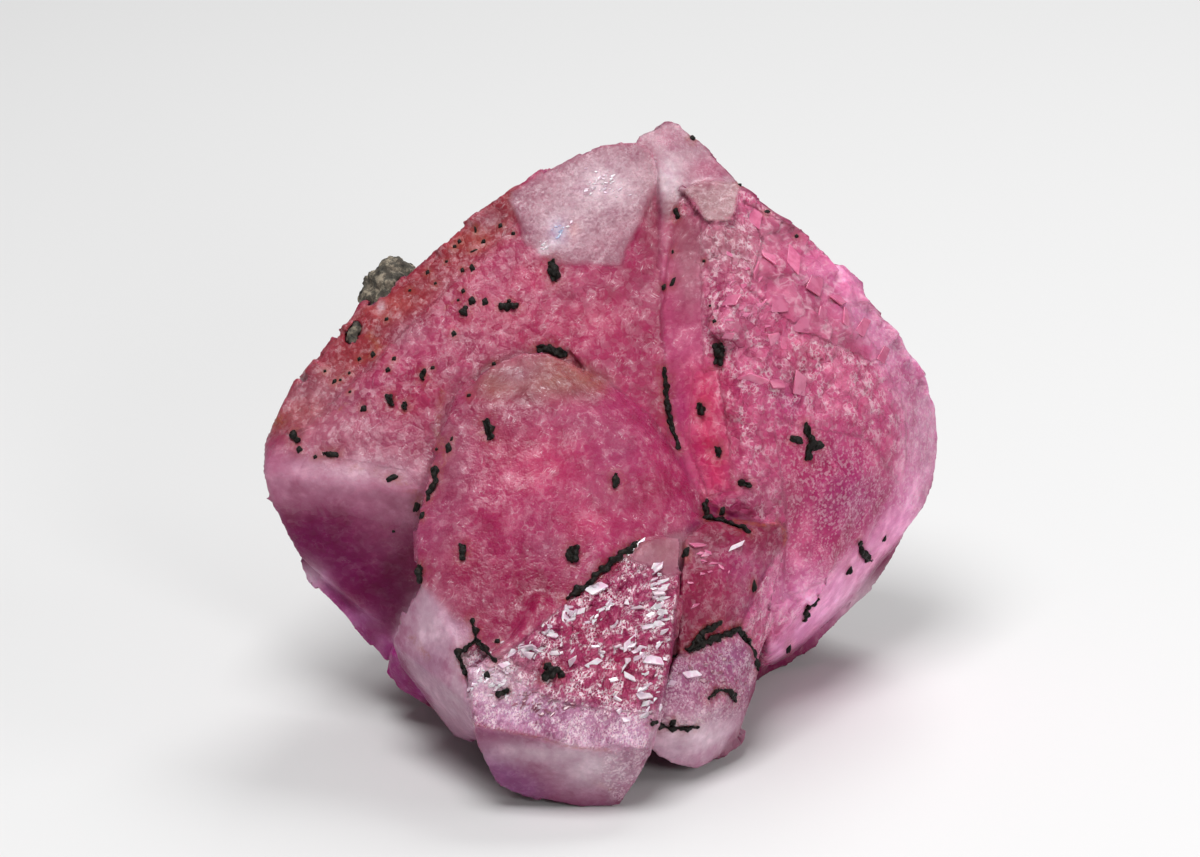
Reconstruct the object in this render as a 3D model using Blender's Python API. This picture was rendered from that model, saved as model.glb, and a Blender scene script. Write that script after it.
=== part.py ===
"""Cobaltoan calcite specimen: pink calcite crystals grown together in one cluster, broken off
its wall at the back and base, with a lump of host rock behind the left shoulder and small dark
crystals seated in the faces. Metres, +Z up. The display side faces -Y and leans back.
The origin is on the resting plane, under the middle of the specimen."""

import math
import random

import bmesh
import bpy
from mathutils import Matrix, Vector, noise
from mathutils.bvhtree import BVHTree

# Lengths are in millimetres where they are listed, and MM makes them metres.
MM = 0.001
DISPLAY_LEAN = math.radians(22.0)
ORIGIN = Vector((-0.03, -22.95, 0.0)) * MM

# The display plane leans back with the specimen. Its zero is the tip of the front rhomb.
ACROSS = Vector((1.0, 0.0, 0.0))
UP = Vector((0.0, math.sin(DISPLAY_LEAN), math.cos(DISPLAY_LEAN)))
OUT = Vector((0.0, -math.cos(DISPLAY_LEAN), math.sin(DISPLAY_LEAN)))

# Relief of the faces that grew, and of the surfaces that broke.
FACE_SPLIT = 14.0 * MM
FACE_RELIEF = 0.3 * MM
FACE_RELIEF_SCALE = 230.0
BREAK_SPLIT = 9.0 * MM
BREAK_RELIEF = 0.9 * MM
BREAK_RELIEF_SCALE = 140.0

# Each crystal is the convex body through its corners: first those that show, as (across, up,
# out) in the display plane, then the buried ones, as (x, y, z) from the same zero.
CRYSTALS = {
    # The long roof of the left shoulder: a pink front face over a dark face under its edge.
    "left_shoulder": (
        ((-34.1, 36.0, -13.0), (-32.0, 39.5, -13.5), (-26.8, 46.4, -14.5), (-22.8, 50.2, -15.0),
         (-17.3, 54.5, -15.0), (-12.3, 58.9, -15.0), (-8.1, 61.8, -15.0), (-0.3, 65.7, -15.0),
         (3.7, 66.0, -15.0), (5.2, 64.8, -14.5), (5.5, 62.8, -14.0), (4.7, 57.0, -13.0),
         (5.2, 47.0, -12.0), (-34.1, 33.0, -9.5), (-30.3, 32.2, -7.6), (-25.3, 31.6, -6.2),
         (-18.8, 30.8, -5.4), (-8.0, 31.0, -6.0), (-33.5, 30.0, -10.8), (-32.0, 27.0, -12.5),
         (-30.6, 24.4, -14.5), (-26.0, 19.9, -17.5), (-20.0, 15.5, -16.0), (-15.0, 20.0, -12.0)),
        ((-28.0, 31.5, 24.0), (-20.0, 36.5, 36.0), (-10.0, 40.0, 46.0), (0.0, 42.5, 52.0),
         (4.0, 43.0, 50.0), (-23.0, 30.0, 13.0), (-10.0, 37.0, 18.0), (2.0, 42.0, 20.0)),
    ),
    # The blunt crystal in the middle, with a clear cap facet above its broad front face.
    "centre_blunt": (
        ((-5.8, 44.8, -7.0), (-8.3, 44.7, -6.6), (-10.3, 43.9, -6.2), (-12.3, 42.5, -5.6),
         (-14.3, 40.4, -5.0), (-16.3, 36.8, -4.0), (-17.5, 32.0, -3.0), (-18.6, 28.0, -2.0),
         (-18.7, 25.0, -1.2), (-18.2, 22.0, -0.6), (-3.8, 44.0, -7.2), (-2.1, 42.8, -7.2),
         (3.7, 39.5, -8.2), (8.2, 34.5, -9.0), (9.6, 31.0, -9.0), (10.2, 28.5, -8.0),
         (-13.3, 39.6, -3.6), (-7.3, 39.4, -2.4), (-2.3, 39.3, -3.6), (-15.3, 28.0, -0.4),
         (-10.3, 15.0, 3.2), (-13.8, 15.2, 3.0), (-16.3, 20.0, 0.8), (-0.3, 24.0, 1.2),
         (5.7, 28.0, -2.2), (3.7, 36.0, -3.8), (8.7, 28.0, -5.0), (4.0, 18.0, 1.5)),
        ((-10.0, 36.0, 22.0), (4.0, 36.0, 22.0), (-10.0, 24.0, 10.0), (5.0, 24.0, 12.0)),
    ),
    # The pale crystal at the lower left, under the blunt one.
    "lower_left": (
        ((-18.2, 21.7, -1.0), (-19.8, 18.5, -3.0), (-21.0, 15.9, -5.0), (-20.3, 13.5, -7.0),
         (-17.3, 10.2, -8.0), (-16.2, 8.8, -8.0), (-14.9, 6.3, -10.0), (-12.5, 6.1, -6.0),
         (-12.3, 7.8, 3.0), (-13.1, 10.0, 4.6), (-14.0, 15.0, 3.6), (-15.8, 20.0, 1.0)),
        ((-12.3, 20.0, 8.0), (-8.3, 15.0, 5.0)),
    ),
    # The glossy rhomb in front, which stands on its lower tip.
    "front_rhomb": (
        ((7.7, 26.4, -1.5), (5.7, 26.6, -1.0), (3.7, 25.9, -0.3), (0.7, 23.2, 1.3),
         (-3.1, 20.2, 2.9), (-8.3, 15.8, 4.5), (-11.8, 14.6, 5.1), (-13.0, 13.6, 5.4),
         (-13.1, 11.0, 6.0), (-12.5, 7.8, 6.4), (-8.3, 7.2, 6.9), (-3.3, 5.8, 7.0),
         (-0.3, 5.4, 6.7), (3.7, 5.8, 5.4), (4.7, 6.5, 4.6), (7.5, 20.0, 1.6),
         (6.9, 14.5, 3.0), (5.9, 10.0, 4.0), (-12.5, 6.0, 5.0), (-10.6, 2.2, 2.5),
         (-9.3, 1.3, 1.2), (-3.8, 1.2, 0.8), (-2.1, -0.2, 0.4), (0.0, -0.6, 0.0),
         (1.7, -0.1, 0.6), (3.4, 2.7, 2.0), (4.5, 5.0, 3.0)),
        ((-4.3, 15.0, 6.0), (1.7, 14.0, 6.0), (0.0, 18.0, 18.0)),
    ),
    # The small sparkling crystal to the right of the front rhomb.
    "lower_right": (
        ((7.0, 14.5, 0.6), (9.7, 16.0, -2.0), (13.2, 16.8, -5.0), (14.7, 15.2, -6.5),
         (15.5, 13.2, -8.0), (15.2, 11.0, -9.0), (13.9, 8.0, -9.0), (13.2, 6.0, -8.5),
         (11.2, 4.2, -6.5), (9.4, 3.1, -5.0), (7.2, 3.8, -3.5), (5.2, 4.7, -2.0),
         (4.5, 5.5, -1.0), (5.2, 9.5, 1.9), (8.7, 8.0, 0.3), (12.2, 10.0, -2.5)),
        ((9.7, 24.0, 8.0), (7.7, 18.0, 4.0), (13.7, 24.0, 6.0)),
    ),
    # The small glassy crystal wedged between the front rhomb and the right one.
    "wedged": (
        ((8.0, 26.0, -2.5), (10.3, 27.9, -5.0), (14.9, 27.2, -5.0), (18.0, 27.9, -7.5),
         (18.8, 26.7, -9.0), (18.2, 25.0, -9.0), (15.4, 20.0, -9.0), (15.7, 16.0, -10.0),
         (13.7, 16.6, -6.0), (8.7, 15.2, -1.5), (7.3, 14.5, -0.5), (7.5, 20.0, 0.0),
         (12.2, 22.5, -3.0), (9.7, 19.0, -1.5)),
        ((9.7, 28.0, 18.0), (13.7, 28.0, 14.0)),
    ),
    # The large domed crystal on the right.
    "right_dome": (
        ((8.9, 61.6, -14.0), (11.2, 61.9, -13.0), (13.7, 61.4, -14.0), (18.7, 57.8, -17.0),
         (21.9, 55.0, -18.0), (25.4, 51.0, -20.0), (29.7, 46.5, -22.0), (32.7, 42.4, -24.5),
         (33.8, 39.0, -26.5), (34.1, 34.5, -28.0), (33.9, 31.5, -28.5), (33.1, 29.2, -28.5),
         (30.2, 25.7, -29.0), (25.9, 20.0, -28.0), (21.9, 16.8, -27.0), (19.4, 14.0, -26.0),
         (17.2, 12.9, -25.0), (15.9, 12.8, -23.0), (7.9, 60.0, -14.0), (6.5, 54.0, -12.0),
         (5.9, 46.0, -10.5), (6.1, 38.0, -9.5), (7.7, 33.0, -9.0), (9.7, 28.5, -8.5),
         (11.2, 57.8, -10.5), (13.2, 50.0, -8.0), (13.7, 40.0, -6.4), (14.7, 30.0, -6.6),
         (19.7, 50.0, -11.2), (24.7, 42.0, -13.6), (25.7, 32.0, -14.6), (22.7, 23.0, -15.6),
         (16.7, 20.0, -12.0), (16.7, 15.0, -15.0), (30.2, 36.0, -19.6)),
        ((11.0, 45.0, 50.0), (20.0, 47.5, 43.0), (29.0, 47.0, 33.0), (31.5, 45.0, 22.0),
         (27.0, 46.0, 12.0), (8.0, 46.0, 20.0), (12.0, 42.0, 8.0)),
    ),
    # The pale crystal that shows behind the other two at the top.
    "crown": (
        ((3.3, 66.3, -17.0), (3.8, 66.9, -18.0), (5.2, 67.0, -18.0), (6.5, 67.8, -18.0),
         (7.8, 67.5, -18.0), (9.7, 65.3, -18.0), (12.4, 63.4, -18.0), (13.9, 61.3, -18.0),
         (16.3, 59.2, -19.0), (5.7, 63.5, -15.2), (8.2, 61.0, -14.6), (8.7, 55.0, -12.8),
         (5.2, 60.0, -14.4), (5.2, 55.0, -12.9), (5.7, 47.0, -11.3)),
        ((7.0, 45.5, 51.0), (3.5, 43.5, 50.0), (14.0, 46.0, 46.0)),
    ),
    # The ridge between the shoulder, the blunt crystal and the dome.
    "saddle": (
        ((-5.0, 46.4, -10.6), (2.0, 50.0, -12.4), (5.5, 52.0, -12.4), (6.6, 44.0, -10.2),
         (6.6, 38.0, -9.5), (8.2, 32.5, -8.8), (10.6, 28.3, -7.6), (4.0, 40.6, -8.6),
         (-3.0, 44.6, -8.2)),
        ((0.0, 32.0, 28.0), (5.0, 34.0, 36.0)),
    ),
    # The mass that fills the joints between the small crystals in front.
    "heart": (
        ((-17.0, 22.0, -2.2), (-14.5, 16.0, 2.4), (-12.4, 12.0, 3.6), (-12.0, 8.5, 2.5),
         (0.0, 8.0, 3.0), (5.5, 8.0, 1.0), (9.8, 28.2, -5.8), (4.0, 26.0, -2.2),
         (15.8, 27.4, -7.6), (15.9, 17.0, -9.4), (13.0, 7.0, -9.5), (17.0, 18.0, -13.0)),
        ((-12.0, 26.0, 6.0), (12.0, 32.0, 5.0), (0.0, 30.0, 24.0)),
    ),
    # The frosted plate that overgrows the top of the left shoulder.
    "frosted_plate": (
        ((-8.6, 61.2, -14.6), (-9.2, 60.2, -14.2), (-8.2, 58.0, -12.9), (-7.7, 56.2, -12.4),
         (-4.3, 53.6, -11.5), (-0.3, 53.2, -11.4), (1.6, 53.6, -11.6), (2.4, 55.6, -12.0),
         (4.0, 58.5, -12.6), (5.3, 61.0, -13.3), (5.7, 62.8, -13.8), (5.2, 64.8, -14.5),
         (3.7, 66.1, -15.0), (-0.3, 65.8, -15.0)),
        ((-2.0, 38.0, 48.0), (2.0, 40.0, 52.0)),
    ),
    # The clear facet on the tip of the dome.
    "dome_cap": (
        ((7.9, 61.2, -13.2), (9.6, 61.9, -13.2), (13.5, 61.7, -13.6), (13.9, 61.0, -13.2),
         (13.2, 58.8, -10.9), (12.7, 57.9, -10.0), (10.2, 57.9, -10.1), (9.3, 59.8, -11.6)),
        ((10.5, 40.0, 48.0), (12.0, 40.0, 50.0)),
    ),
}

# Broken calcite at the back and base, where the specimen came off its wall. The corners are
# given in the same two lists.
BROKEN_BLOCKS = {
    "back_wall": (
        ((-8.0, 38.0, -10.0), (4.0, 44.0, -13.0), (12.0, 40.0, -14.0), (11.0, 30.0, -10.5),
         (14.0, 22.0, -14.5), (-17.0, 24.0, -17.0)),
        ((-24.0, 33.0, 16.0), (-22.0, 36.0, 32.0), (-9.0, 42.0, 45.0), (5.0, 45.5, 49.0),
         (20.0, 49.0, 37.0), (24.0, 49.5, 20.0), (17.0, 47.0, 5.0), (-14.0, 40.0, 5.0),
         (-12.0, 20.0, 9.0), (12.0, 26.0, 8.0), (2.0, 50.0, 24.0)),
    ),
    "left_break": (
        ((-30.5, 24.0, -17.0), (-30.0, 21.7, -18.0), (-28.6, 20.3, -18.0), (-26.3, 20.0, -19.0),
         (-25.1, 18.6, -20.0), (-23.7, 16.7, -20.0), (-22.3, 14.8, -18.0), (-21.6, 14.0, -17.0),
         (-18.3, 13.0, -22.0), (-18.0, 20.0, -12.0)),
        ((-27.0, 34.0, 20.0), (-19.0, 38.0, 14.0)),
    ),
    "left_knob": (
        ((-21.5, 14.5, -13.0), (-21.8, 12.5, -15.4), (-20.6, 10.7, -15.8), (-19.1, 10.4, -16.4),
         (-17.1, 10.1, -15.0), (-18.3, 14.0, -8.5), (-14.5, 8.0, -14.5)),
        ((-15.0, 28.0, 8.0), (-19.0, 28.0, 4.0), (-18.0, 30.0, 14.0)),
    ),
    "right_break": (
        ((16.1, 12.4, -28.5), (17.7, 12.1, -30.0), (19.7, 13.1, -31.0), (21.9, 14.6, -32.0),
         (23.7, 16.8, -33.0), (25.9, 19.3, -34.0), (27.9, 21.0, -35.5), (29.0, 22.3, -35.5),
         (29.4, 24.0, -35.0), (30.9, 26.0, -34.0), (14.0, 20.0, -24.0)),
        ((10.0, 44.0, 3.0), (20.0, 48.5, 8.0), (27.0, 48.0, 18.0)),
    ),
}

# The foot of the broken base on the resting plane, and the outline that it rises to.
FOOT_OUTLINE = (
    (-12.3, 15.5), (-16.5, 24.0), (-11.0, 35.0), (1.0, 42.0), (14.0, 43.5), (21.0, 38.0), (15.7, 30.7),
)
FOOT_TOP = (
    (-13.0, 15.0), (-22.0, 27.0), (-13.0, 40.0), (3.0, 47.5), (17.0, 47.5), (25.0, 41.0), (14.0, 24.0),
)
FOOT_BELOW = 1.6
FOOT_RISE = 12.0
FLOOR_CUTTER_SIZE = 120.0
FLAT_ANGLE = math.radians(0.4)

# Small ledges step along the rims of the shoulder and the dome. A rim is a run of the corners of
# its crystal.
LEDGE_RIMS = {"left_shoulder": (0, 7), "right_dome": (2, 9)}
LEDGE_SPACING = 2.6
LEDGE_SHARE = 0.6
LEDGE_LENGTH = (1.2, 2.8)
LEDGE_RISE = (0.1, 0.45)
LEDGE_ROOT = 1.8
LEDGE_DEPTH = (0.8, 1.5)
LEDGE_SLANT = 0.35
LEDGE_TURN = 0.2

# Growth plates lie on the faces, each patch as (middle across, middle up, half width, half
# height, how many) and the range of their sizes.
PLATE_PATCHES = {
    "dome_front": (20.0, 45.0, 7.0, 9.0, 15),
    "dome_foot": (23.0, 29.0, 6.0, 7.0, 5),
    "rhomb_face": (-2.5, 14.5, 7.0, 6.5, 9),
    "shoulder_face": (-16.0, 42.0, 12.0, 6.0, 8),
    "blunt_face": (-6.0, 29.0, 8.0, 8.0, 5),
}
PLATE_SIZE = (2.6, 5.2)
PLATE_WIDTH_SHARE = (0.55, 0.85)
PLATE_RISE = (0.18, 0.36)
PLATE_TILT = 0.06
PLATE_TURN = math.radians(28.0)
PLATE_ANGLE = math.radians(78.0)
PLATE_ROOT_SPREAD = 1.25
PLATE_ROOT_DEPTH = 1.0

# The host rock behind the left shoulder, and a chip of it on the edge: middle and half sizes.
HOST_ROCK = {
    "host_rock": ((-21.0, 50.0, -18.6), (3.5, 4.2, 3.7), 3),
    "host_rock_chip": ((-24.9, 46.4, -14.4), (0.75, 1.35, 1.1), 2),
}
ROCK_GAP = 0.3
# The swells of the rock's surface: height as a share of the size, and how many there are.
ROCK_SWELLS = ((0.16, 1.7), (0.07, 4.5))

# The dark crystals: each is a run of beads along its routes in the display plane, with the
# width of a bead.
DARK_CRYSTALS = {
    "dark_crystal_01": (1.25, ((-5.1, 53.4), (-4.9, 52.4))),
    "dark_crystal_02": (0.95, ((-9.9, 49.4), (-9.1, 49.4))),
    "dark_crystal_03": (0.85, ((-13.8, 48.8), (-13.8, 48.7))),
    "dark_crystal_04": (0.95, ((-21.2, 40.1), (-21.2, 39.9))),
    "dark_crystal_05": (0.85, ((-19.8, 39.5), (-19.8, 39.3))),
    "dark_crystal_06": (0.8, ((-18.0, 42.6), (-18.0, 42.2))),
    "dark_crystal_07": (0.75, ((-30.8, 36.7), (-30.7, 36.0))),
    "dark_crystal_08": (1.15, ((-11.5, 37.4), (-11.3, 36.6))),
    "dark_crystal_09": (0.95, ((-13.8, 25.2), (-13.8, 24.7))),
    "dark_crystal_10": (1.45, ((-3.0, 24.8), (-3.0, 24.6))),
    "dark_crystal_11": (0.85, ((1.3, 32.4), (1.3, 31.8))),
    "dark_crystal_12": (1.35, ((11.6, 45.0), (11.6, 44.2))),
    "dark_crystal_13": (1.0, ((9.7, 39.2), (9.7, 39.0))),
    "dark_crystal_14": (0.8, ((11.5, 34.9), (11.5, 34.7))),
    "dark_crystal_15": (0.75, ((13.8, 31.7), (14.5, 31.6))),
    "dark_crystal_16": (0.6, ((7.5, 59.0), (7.5, 58.4))),
    "dark_crystal_17": (1.1, ((-5.6, 12.9), (-4.7, 13.4))),
    "dark_crystal_18": (0.85, ((-10.2, 11.2), (-9.6, 11.3))),
    "dark_crystal_19": (0.6, ((-27.7, 34.6), (-26.7, 34.5))),
    "dark_crystal_20": (0.75, ((-18.1, 23.3), (-18.1, 22.3))),
    "dark_crust": (1.0, ((-6.2, 45.1), (-4.9, 45.0), (-4.0, 44.6))),
    "dark_run_01": (0.6, ((6.1, 42.9), (6.3, 41.0), (6.5, 39.0), (6.8, 37.5), (7.5, 35.4))),
    "dark_run_02": (
        0.75, ((-3.3, 20.5), (-1.8, 21.5), (-0.3, 23.0), (0.9, 24.0), (2.2, 25.0), (3.4, 25.8)),
    ),
    "dark_run_03": (0.6, ((10.3, 29.8), (10.4, 28.2), (11.7, 28.0), (12.9, 27.7), (14.5, 27.0))),
    "dark_run_04": (0.7, ((6.9, 14.5), (8.7, 15.5), (10.2, 17.2), (11.3, 17.7))),
    "dark_run_05": (
        0.7, ((8.7, 15.2), (10.2, 16.0), (11.9, 16.6), (13.5, 17.2), (14.5, 15.8), (15.4, 13.3)),
    ),
    "dark_run_06": (0.6, ((-12.9, 18.0), (-12.5, 16.5), (-10.8, 14.5))),
    "dark_run_07": (0.6, ((-12.9, 16.0), (-14.2, 15.0), (-13.6, 13.2))),
    "dark_run_08": (0.6, ((10.5, 10.5), (11.5, 11.2), (12.5, 11.0), (13.2, 10.2))),
    "dark_run_09": (0.55, ((4.9, 8.3), (5.7, 7.7), (7.2, 7.6), (9.1, 7.6))),
    "dark_run_10": (0.85, ((20.3, 37.4), (20.8, 36.0), (20.5, 34.5))),
    "dark_run_11": (0.7, ((26.1, 25.7), (26.3, 24.5), (27.2, 23.8))),
    "dark_run_12": (0.6, ((21.5, 19.7), (20.7, 19.2), (20.3, 17.9))),
    "dark_run_13": (0.5, ((-16.6, 33.2), (-16.6, 32.0), (-17.2, 30.6))),
}
BEAD_RINGS = ((-0.5, 0.65, 3), (0.0, 1.0, 4), (0.5, 0.65, 3))
BEAD_TURN = 0.15
BEAD_REACH = (0.88, 1.12)
BEAD_SEAT = 0.12
BEAD_DEPTH = 0.8
SEAT_GAP = 0.2
BEAD_STEP = 2.4

# Where looks at the display side start, in millimetres, and the start of every choice.
LOOK_FROM = 100.0
CHOICE_SEED = 7

# Each material as colour and roughness.
PINK_CALCITE = ((0.68, 0.16, 0.30), 0.35)
DARK_CRYSTAL = ((0.022, 0.018, 0.012), 0.45)
HOST_ROCK_STONE = ((0.20, 0.18, 0.15), 0.85)


def place(across, up, out):
    """The world position of a point of the display plane, given in millimetres."""
    return (ACROSS * across + UP * up + OUT * out) * MM + ORIGIN


def on_floor(x, y, z):
    """The world position of a point counted from the front tip, given in millimetres."""
    return Vector((x, y, z)) * MM + ORIGIN


def clear_scene():
    for item in list(bpy.data.objects):
        bpy.data.objects.remove(item, do_unlink=True)


def new_collection(name, parent):
    collection = bpy.data.collections.new(name)
    parent.children.link(collection)
    return collection


def new_part(name, mesh, collection, material):
    part = bpy.data.objects.new(name, mesh)
    collection.objects.link(part)
    mesh.materials.append(material)
    return part


def new_helper(name, mesh, collection):
    """A body that only shapes the parts."""
    helper = bpy.data.objects.new(name, mesh)
    collection.objects.link(helper)
    helper.hide_render = True
    helper.display_type = "WIRE"
    return helper


def combine(part, name, collection, operation):
    """Joins the bodies of a collection to the part, or cuts them out of it."""
    change = part.modifiers.new(name, "BOOLEAN")
    change.operation = operation
    change.solver = "EXACT"
    change.operand_type = "COLLECTION"
    change.collection = collection


def merge_flat_faces(part):
    """Joins the triangles of each flat face, which keeps the count of faces low."""
    change = part.modifiers.new("merge_flat_faces", "DECIMATE")
    change.decimate_type = "DISSOLVE"
    change.angle_limit = FLAT_ANGLE


def surface_of(part):
    """The surface of a part with its modifiers, to find places on it."""
    return BVHTree.FromObject(part, bpy.context.evaluated_depsgraph_get())


def seen_point(surface, across, up):
    """The point and normal where a look along the display direction meets the surface."""
    point, normal, _, _ = surface.ray_cast(place(across, up, LOOK_FROM), -OUT)
    return point, normal


def split_long_edges(body, longest):
    """Divides edges until none is longer than longest, and leaves triangles."""
    long_edges = [edge for edge in body.edges if edge.calc_length() > longest]
    while long_edges:
        bmesh.ops.subdivide_edges(body, edges=long_edges, cuts=1)
        bmesh.ops.triangulate(body, faces=body.faces)
        long_edges = [edge for edge in body.edges if edge.calc_length() > longest]


def roughen(body, depth, scale, seed):
    """Moves each vertex along its normal by smooth noise, up to depth."""
    body.normal_update()
    shift = Vector((seed, 2.0 * seed, -seed))
    for vertex in body.verts:
        vertex.co += vertex.normal * depth * noise.noise((vertex.co - ORIGIN) * scale + shift)


def hull(points):
    """A bmesh of the convex body through points."""
    body = bmesh.new()
    for point in points:
        body.verts.new(point)
    made = bmesh.ops.convex_hull(body, input=body.verts)
    unused = [item for item in made["geom_interior"] if isinstance(item, bmesh.types.BMVert)]
    bmesh.ops.delete(body, geom=unused, context="VERTS")
    bmesh.ops.recalc_face_normals(body, faces=body.faces)
    return body


def finished(body, name):
    mesh = bpy.data.meshes.new(name)
    body.to_mesh(mesh)
    body.free()
    return mesh


def rough_hull(name, points, longest, depth, scale, seed):
    body = hull(points)
    split_long_edges(body, longest)
    roughen(body, depth, scale, seed)
    return finished(body, name)


def corner_points(shown, buried):
    return [place(*corner) for corner in shown] + [on_floor(*corner) for corner in buried]


def tangent_frame(normal, towards):
    """A matrix whose Z is the normal and whose X lies along towards, in the surface."""
    side = (towards - normal * towards.dot(normal)).normalized()
    return Matrix((side, normal.cross(side), normal)).transposed()


def lying_frame(direction, normal):
    """A matrix whose X is the direction and whose Z leans as near to the normal as it can."""
    side = direction.normalized()
    rise = (normal - side * normal.dot(side)).normalized()
    return Matrix((side, rise.cross(side), rise)).transposed()


def stations(line, spacing):
    """Points about spacing apart on a line through corners, with the corners among them."""
    points = [Vector(line[0])]
    for start, end in zip(line, line[1:]):
        start, end = Vector(start), Vector(end)
        count = max(1, round((end - start).length / spacing))
        points += [start.lerp(end, (number + 1) / count) for number in range(count)]
    return points


def rhomb_plate(size, rise, chance):
    """The corners of one growth plate about zero, with a slanted top and a wider root."""
    width = size * chance.uniform(*PLATE_WIDTH_SHARE)
    tilt_x = chance.uniform(-PLATE_TILT, PLATE_TILT)
    tilt_y = chance.uniform(-PLATE_TILT, PLATE_TILT)
    skew = 1.0 / math.tan(PLATE_ANGLE)
    corners = []
    for across, along in ((-0.5, -0.5), (0.5, -0.5), (0.5, 0.5), (-0.5, 0.5)):
        x = across * size + along * width * skew
        y = along * width
        corners.append(Vector((x, y, rise + x * tilt_x + y * tilt_y)) * MM)
        corners.append(Vector((x * PLATE_ROOT_SPREAD, y * PLATE_ROOT_SPREAD, -PLATE_ROOT_DEPTH)) * MM)
    return corners


def add_plates(surface, plates, chance):
    """Growth plates on the faces, all turned the same way in a patch."""
    for name, (across, up, half_width, half_height, count) in PLATE_PATCHES.items():
        for number in range(count):
            u = across + half_width * chance.uniform(-1.0, 1.0)
            v = up + half_height * chance.uniform(-1.0, 1.0)
            point, normal = seen_point(surface, u, v)
            if point is None:
                continue
            frame = tangent_frame(normal, UP * math.cos(PLATE_TURN) + ACROSS * math.sin(PLATE_TURN))
            size = chance.uniform(*PLATE_SIZE)
            rise = chance.uniform(*PLATE_RISE)
            body = hull([point + frame @ corner for corner in rhomb_plate(size, rise, chance)])
            new_helper(f"{name}_plate_{number:02d}", finished(body, name), plates)


def add_ledges(plates, chance):
    """Small slanted blocks that step along the rims of the shoulder and the dome."""
    for crystal, (first, last) in LEDGE_RIMS.items():
        rim = CRYSTALS[crystal][0][first:last]
        places = stations(rim, LEDGE_SPACING)
        for number, (start, end) in enumerate(zip(places, places[1:])):
            half_length = 0.5 * chance.uniform(*LEDGE_LENGTH)
            rise = chance.uniform(*LEDGE_RISE)
            depth = chance.uniform(*LEDGE_DEPTH)
            angle = math.atan2(end.y - start.y, end.x - start.x) + chance.uniform(-LEDGE_TURN, LEDGE_TURN)
            turn = Matrix.Rotation(angle, 3, "Z")
            if chance.random() > LEDGE_SHARE:
                continue
            middle = start.lerp(end, 0.5)
            corners = []
            for x in (-half_length, half_length):
                for y in (-LEDGE_ROOT, rise):
                    for z in (-depth, depth):
                        corners.append(place(*(middle + turn @ Vector((x + z * LEDGE_SLANT, y, z)))))
            new_helper(f"{crystal}_ledge_{number:02d}", finished(hull(corners), crystal), plates)


def bead_corners(length, width, gap, chance):
    """The corners of one blocky crystal about zero, long in X, made larger by gap."""
    corners = []
    for x, ring_size, count in BEAD_RINGS:
        for number in range(count):
            angle = math.tau * (number + chance.uniform(-BEAD_TURN, BEAD_TURN)) / count + ring_size
            reach = width * 0.5 * ring_size * chance.uniform(*BEAD_REACH)
            side = (reach + gap) * math.cos(angle)
            rise = (reach * BEAD_DEPTH + gap) * math.sin(angle)
            corners.append(Vector((x * (length + 2.0 * gap), side, rise)) * MM)
    return corners


def add_dark_crystals(surface, parts, helpers, seats, material):
    """The dark crystals, each seated in the calcite, with the seats that they leave."""
    for seed, (name, (width, route)) in enumerate(DARK_CRYSTALS.items()):
        beads = new_collection(f"{name}_beads", helpers)
        seen = [seen_point(surface, stop.x, stop.y) for stop in stations(route, BEAD_STEP)]
        for number, ((start, start_normal), (end, end_normal)) in enumerate(zip(seen, seen[1:])):
            start = start + start_normal * BEAD_SEAT * width * MM
            end = end + end_normal * BEAD_SEAT * width * MM
            frame = lying_frame(end - start, start_normal + end_normal)
            middle = start.lerp(end, 0.5)
            length = (end - start).length / MM + width
            meshes = []
            for gap in (0.0, SEAT_GAP):
                corners = bead_corners(length, width, gap, random.Random(f"{seed} {number}"))
                meshes.append(finished(hull([middle + frame @ corner for corner in corners]), name))
            new_helper(f"{name}_seat_{number}", meshes[1], seats)
            if number == 0:
                part = new_part(name, meshes[0], parts, material)
            else:
                new_helper(f"{name}_bead_{number}", meshes[0], beads)
        if beads.objects:
            combine(part, "joined_beads", beads, "UNION")


def rock_body(middle, half_sizes, detail, gap, seed):
    """A lump of host rock as an uneven ball, made larger by gap."""
    body = bmesh.new()
    bmesh.ops.create_icosphere(body, subdivisions=detail, radius=1.0)
    shift = Vector((seed, 0.0, seed))
    for vertex in body.verts:
        way = vertex.co.normalized()
        uneven = 1.0 + sum(height * noise.noise(way * count + shift) for height, count in ROCK_SWELLS)
        reach = [way[axis] * (half_sizes[axis] * uneven + gap) for axis in range(3)]
        vertex.co = place(*(Vector(middle) + Vector(reach)))
    bmesh.ops.recalc_face_normals(body, faces=body.faces)
    return body


def add_host_rock(parts, seats, material):
    for seed, (name, (middle, half_sizes, detail)) in enumerate(HOST_ROCK.items()):
        rock = rock_body(middle, half_sizes, detail, 0.0, seed)
        seat = rock_body(middle, half_sizes, detail, ROCK_GAP, seed)
        new_part(name, finished(rock, name), parts, material)
        new_helper(f"{name}_seat", finished(seat, name), seats)


def floor_cutter():
    """A block whose top is the resting plane."""
    body = bmesh.new()
    bmesh.ops.create_cube(body, size=FLOOR_CUTTER_SIZE * MM)
    bmesh.ops.translate(body, verts=body.verts, vec=(0.0, 0.0, -0.5 * FLOOR_CUTTER_SIZE * MM))
    return finished(body, "floor_cutter")


def stone_material(name, colour, roughness):
    material = bpy.data.materials.new(name)
    material.use_nodes = True
    shader = material.node_tree.nodes["Principled BSDF"]
    shader.inputs["Base Color"].default_value = (*colour, 1.0)
    shader.inputs["Roughness"].default_value = roughness
    shader.inputs["Metallic"].default_value = 0.0
    material.diffuse_color = (*colour, 1.0)
    return material


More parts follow.
